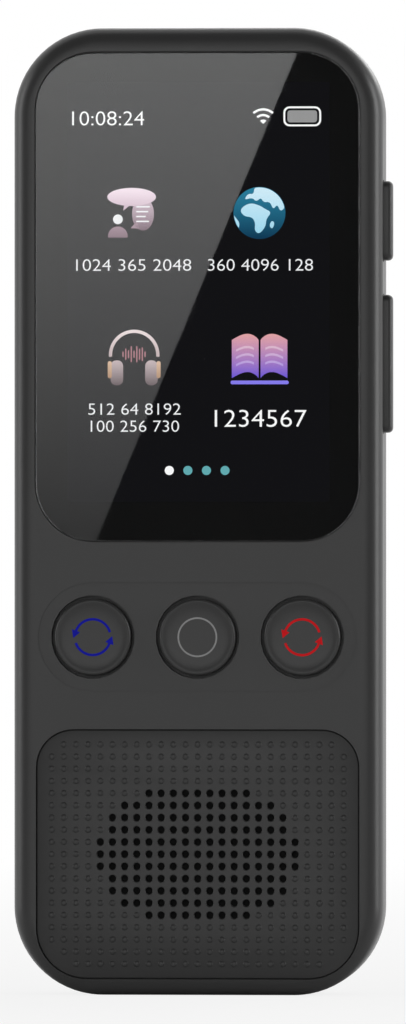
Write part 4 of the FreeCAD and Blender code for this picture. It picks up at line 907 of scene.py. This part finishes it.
board = Finish("solder_mask", IOR=1.5, Coat_Weight=0.3)
x, _, z = board.parts(board.place())
run = board.maths("PINGPONG", x + 0.4 * z, 0.5 * MM) < 0.16 * MM
field = board.noise(5 * MM, 2) > 0.5
vias = board.cells(1.6 * MM) < 0.12
tracks = board.maths("MAXIMUM", run * field, vias)
board.set(Base_Color=board.between(tracks, (0.006, 0.06, 0.025, 1), (0.02, 0.16, 0.06, 1)))
board.set(Roughness=0.3 + 0.1 * tracks)
board.relief(tracks, 0.02 * MM)
dress(board.material, "main_board", "key_board", "side_key_board")
tinned = metal("tinned_steel", grey(178), grey(204), 0.22, 0.36, (1, 1, 0.15))
dress(tinned, "processor_shield", "radio_shield")
epoxy = Finish("chip_epoxy", Roughness=0.55)
speck = epoxy.noise(0.12 * MM, 1)
epoxy.set(Base_Color=epoxy.between(speck, grey(22), grey(38)))
epoxy.relief(speck, 0.004 * MM)
dress(epoxy.material, "memory_chip", "power_chip")
plated = metal("plated_screw", grey(120), grey(156), 0.25, 0.4)
dress(plated, "board_screws", "key_board_screws")
dress(ruled("antenna_film", grey(40), grey(170, (1.25, 0.85, 0.5)), 1.6 * MM, 0.4, 0), "wifi_antenna")


# The battery
# A flat lithium cell in a satin aluminium pouch, slightly crinkled.

pouch = Finish("battery_pouch", Metallic=0.7)
crinkle = pouch.noise(3 * MM, 4, (1, 1, 0.5))
pouch.set(Base_Color=pouch.between(crinkle, grey(150), grey(186)), Roughness=0.32 + 0.18 * crinkle)
pouch.relief(crinkle, 0.08 * MM)
dress(pouch.material, "battery")


# Charging port and microphones
# A drawn steel shell set in the lower end, and two small metal-cased microphones in rubber boots.

dress(metal("port_steel", grey(158), grey(196), 0.18, 0.32, (1, 0.15, 1)), "usb_port")
dress(metal("microphone_case", grey(170), grey(200), 0.25, 0.4), "bottom_microphone", "top_microphone")
dress(moulded("boot_rubber", grey(18), grey(30), 0.7, 0.85, 0.3 * MM, 0.01 * MM),
      "bottom_microphone_boot", "top_microphone_boot")


# The six housing screws
# Steel, black-plated, with a rounded head edge and a six-sided socket.

def socket_screw(name, x, z):
    """A profile turned about the screw's axis, whose innermost rings narrow to a hexagon and go down."""
    turn = np.linspace(0, 2 * math.pi, 36, endpoint=False)
    circle = np.stack([np.cos(turn), np.sin(turn)], 1)
    flats = 1 / np.cos((turn + math.pi / 6) % (math.pi / 3) - math.pi / 6)
    rings = [level(circle * r, y, (x, z)) for r, y in (
        (0.5, -2.6), (0.68, -2.4), (0.68, 5.1), (1.28, 5.1), (1.28, 5.86), (1.24, 5.95),
        (1.15, 5.995), (0.95, 6.0))]
    rings += [level(circle * flats[:, None] * 0.56, y, (x, z)) for y in (6.0, 5.97, 5.5)]
    return closed_solid(name, rings, 30)


corner_x, corner_z = 22.7 - 10.9 + 5.9 * math.sqrt(0.5), 10.9 - 5.9 * math.sqrt(0.5)
black_steel = metal("black_steel", grey(70), grey(100), 0.28, 0.42)
screw_places = [(side * x, z) for side in (-1, 1)
                for x, z in ((corner_x, corner_z), (18.2, 53.6), (corner_x, 119 - corner_z))]
for number, (x, z) in enumerate(screw_places, start=1):
    screw = "housing_screw_%d" % number
    put(screw, socket_screw(screw, x, z), black_steel, "case", ["housing_screws"] if number == 1 else ())


# The rear camera and its lamp
# A round hardened window with a black printed ring over a small lens, and a ribbed clear lens over the lamp.

def turned(name, profile, middle, around=64, sharp=30):
    """A profile of reaches and depths, turned about an axis that runs front to back."""
    turn = np.linspace(0, 2 * math.pi, around, endpoint=False)
    circle = np.stack([np.cos(turn), np.sin(turn)], 1)
    return closed_solid(name, [level(circle * r, y, middle) for r, y in profile], sharp)


CAMERA = (0, 102.0)
window_profile = [(3.7, 5.52), (3.8, 5.54), (3.8, 5.98), (3.77, 6.05), (3.7, 6.09), (3.6, 6.1), (0.4, 6.1)]
put("camera_glass", turned("camera_glass", window_profile, CAMERA), clear_glass.material, "case",
    ["camera_window"]).visible_shadow = False
circle = round_shape(*CAMERA, 3.68, steps=64)
hole = round_shape(*CAMERA, 1.75, steps=64)
ring_mesh = flat_mesh("camera_ring", [[circle, hole]], 5.515)
ring_mesh.flip_normals()
put("camera_ring", ring_mesh, border_ink.material, "case")
dress(moulded("camera_body", grey(16), grey(26), 0.4, 0.55, 0.2 * MM, 0.006 * MM), "camera_module")
coated = Finish("coated_lens", Base_Color=(0.01, 0.008, 0.03, 1), IOR=1.6, Roughness=0.04, Coat_Weight=1.0)
lens_heart = (0, 5.2 * MM, CAMERA[1] * MM)
tint = coated.add("ShaderNodeVectorMath", {"operation": "DISTANCE"},
                  {0: coated.place(), 1: lens_heart}, "Value")
violet_coat, blue_coat = (0.035, 0.01, 0.09, 1), (0.003, 0.012, 0.03, 1)
coated.set(Base_Color=coated.between(tint * (1 / (1.6 * MM)), violet_coat, blue_coat))
dome = np.linspace(0, math.pi / 2, 10)
lens_profile = [(1.62, 4.92), (1.66, 4.94)]
lens_profile += [(1.66 * math.cos(t), 4.95 + 0.42 * math.sin(t)) for t in dome[:-1]]
put("camera_lens", turned("camera_lens", lens_profile, CAMERA, 48), coated.material, "case")

FLASH = (0, 93.4)
clear_plastic = Finish("clear_plastic", Base_Color=(1, 0.99, 0.94, 1), IOR=1.49, Transmission_Weight=1.0)
cloud = clear_plastic.noise(1.2 * MM, 2)
clear_plastic.set(Roughness=0.04 + 0.1 * cloud)
ribs = [(1.42 - 0.11 * step, 6.13 - (0.07 if step % 2 else 0.0)) for step in range(12)]
flash_profile = [(1.9, 4.5), (1.93, 4.52), (1.93, 4.98), (1.5, 5.0), (1.5, 6.1), (1.47, 6.13)] + ribs
put("flash_cover", turned("flash_cover", flash_profile, FLASH, 48, 20), clear_plastic.material, "case",
    ["flash_lens"]).visible_shadow = False
phosphor = Finish("lamp_phosphor", Roughness=0.5)
dots = phosphor.cells(0.2 * MM)
phosphor.set(Base_Color=phosphor.between(dots, (0.85, 0.62, 0.06, 1), (0.9, 0.75, 0.2, 1)))
phosphor.relief(dots, 0.02 * MM)
dress(phosphor.material, "flash_lamp")
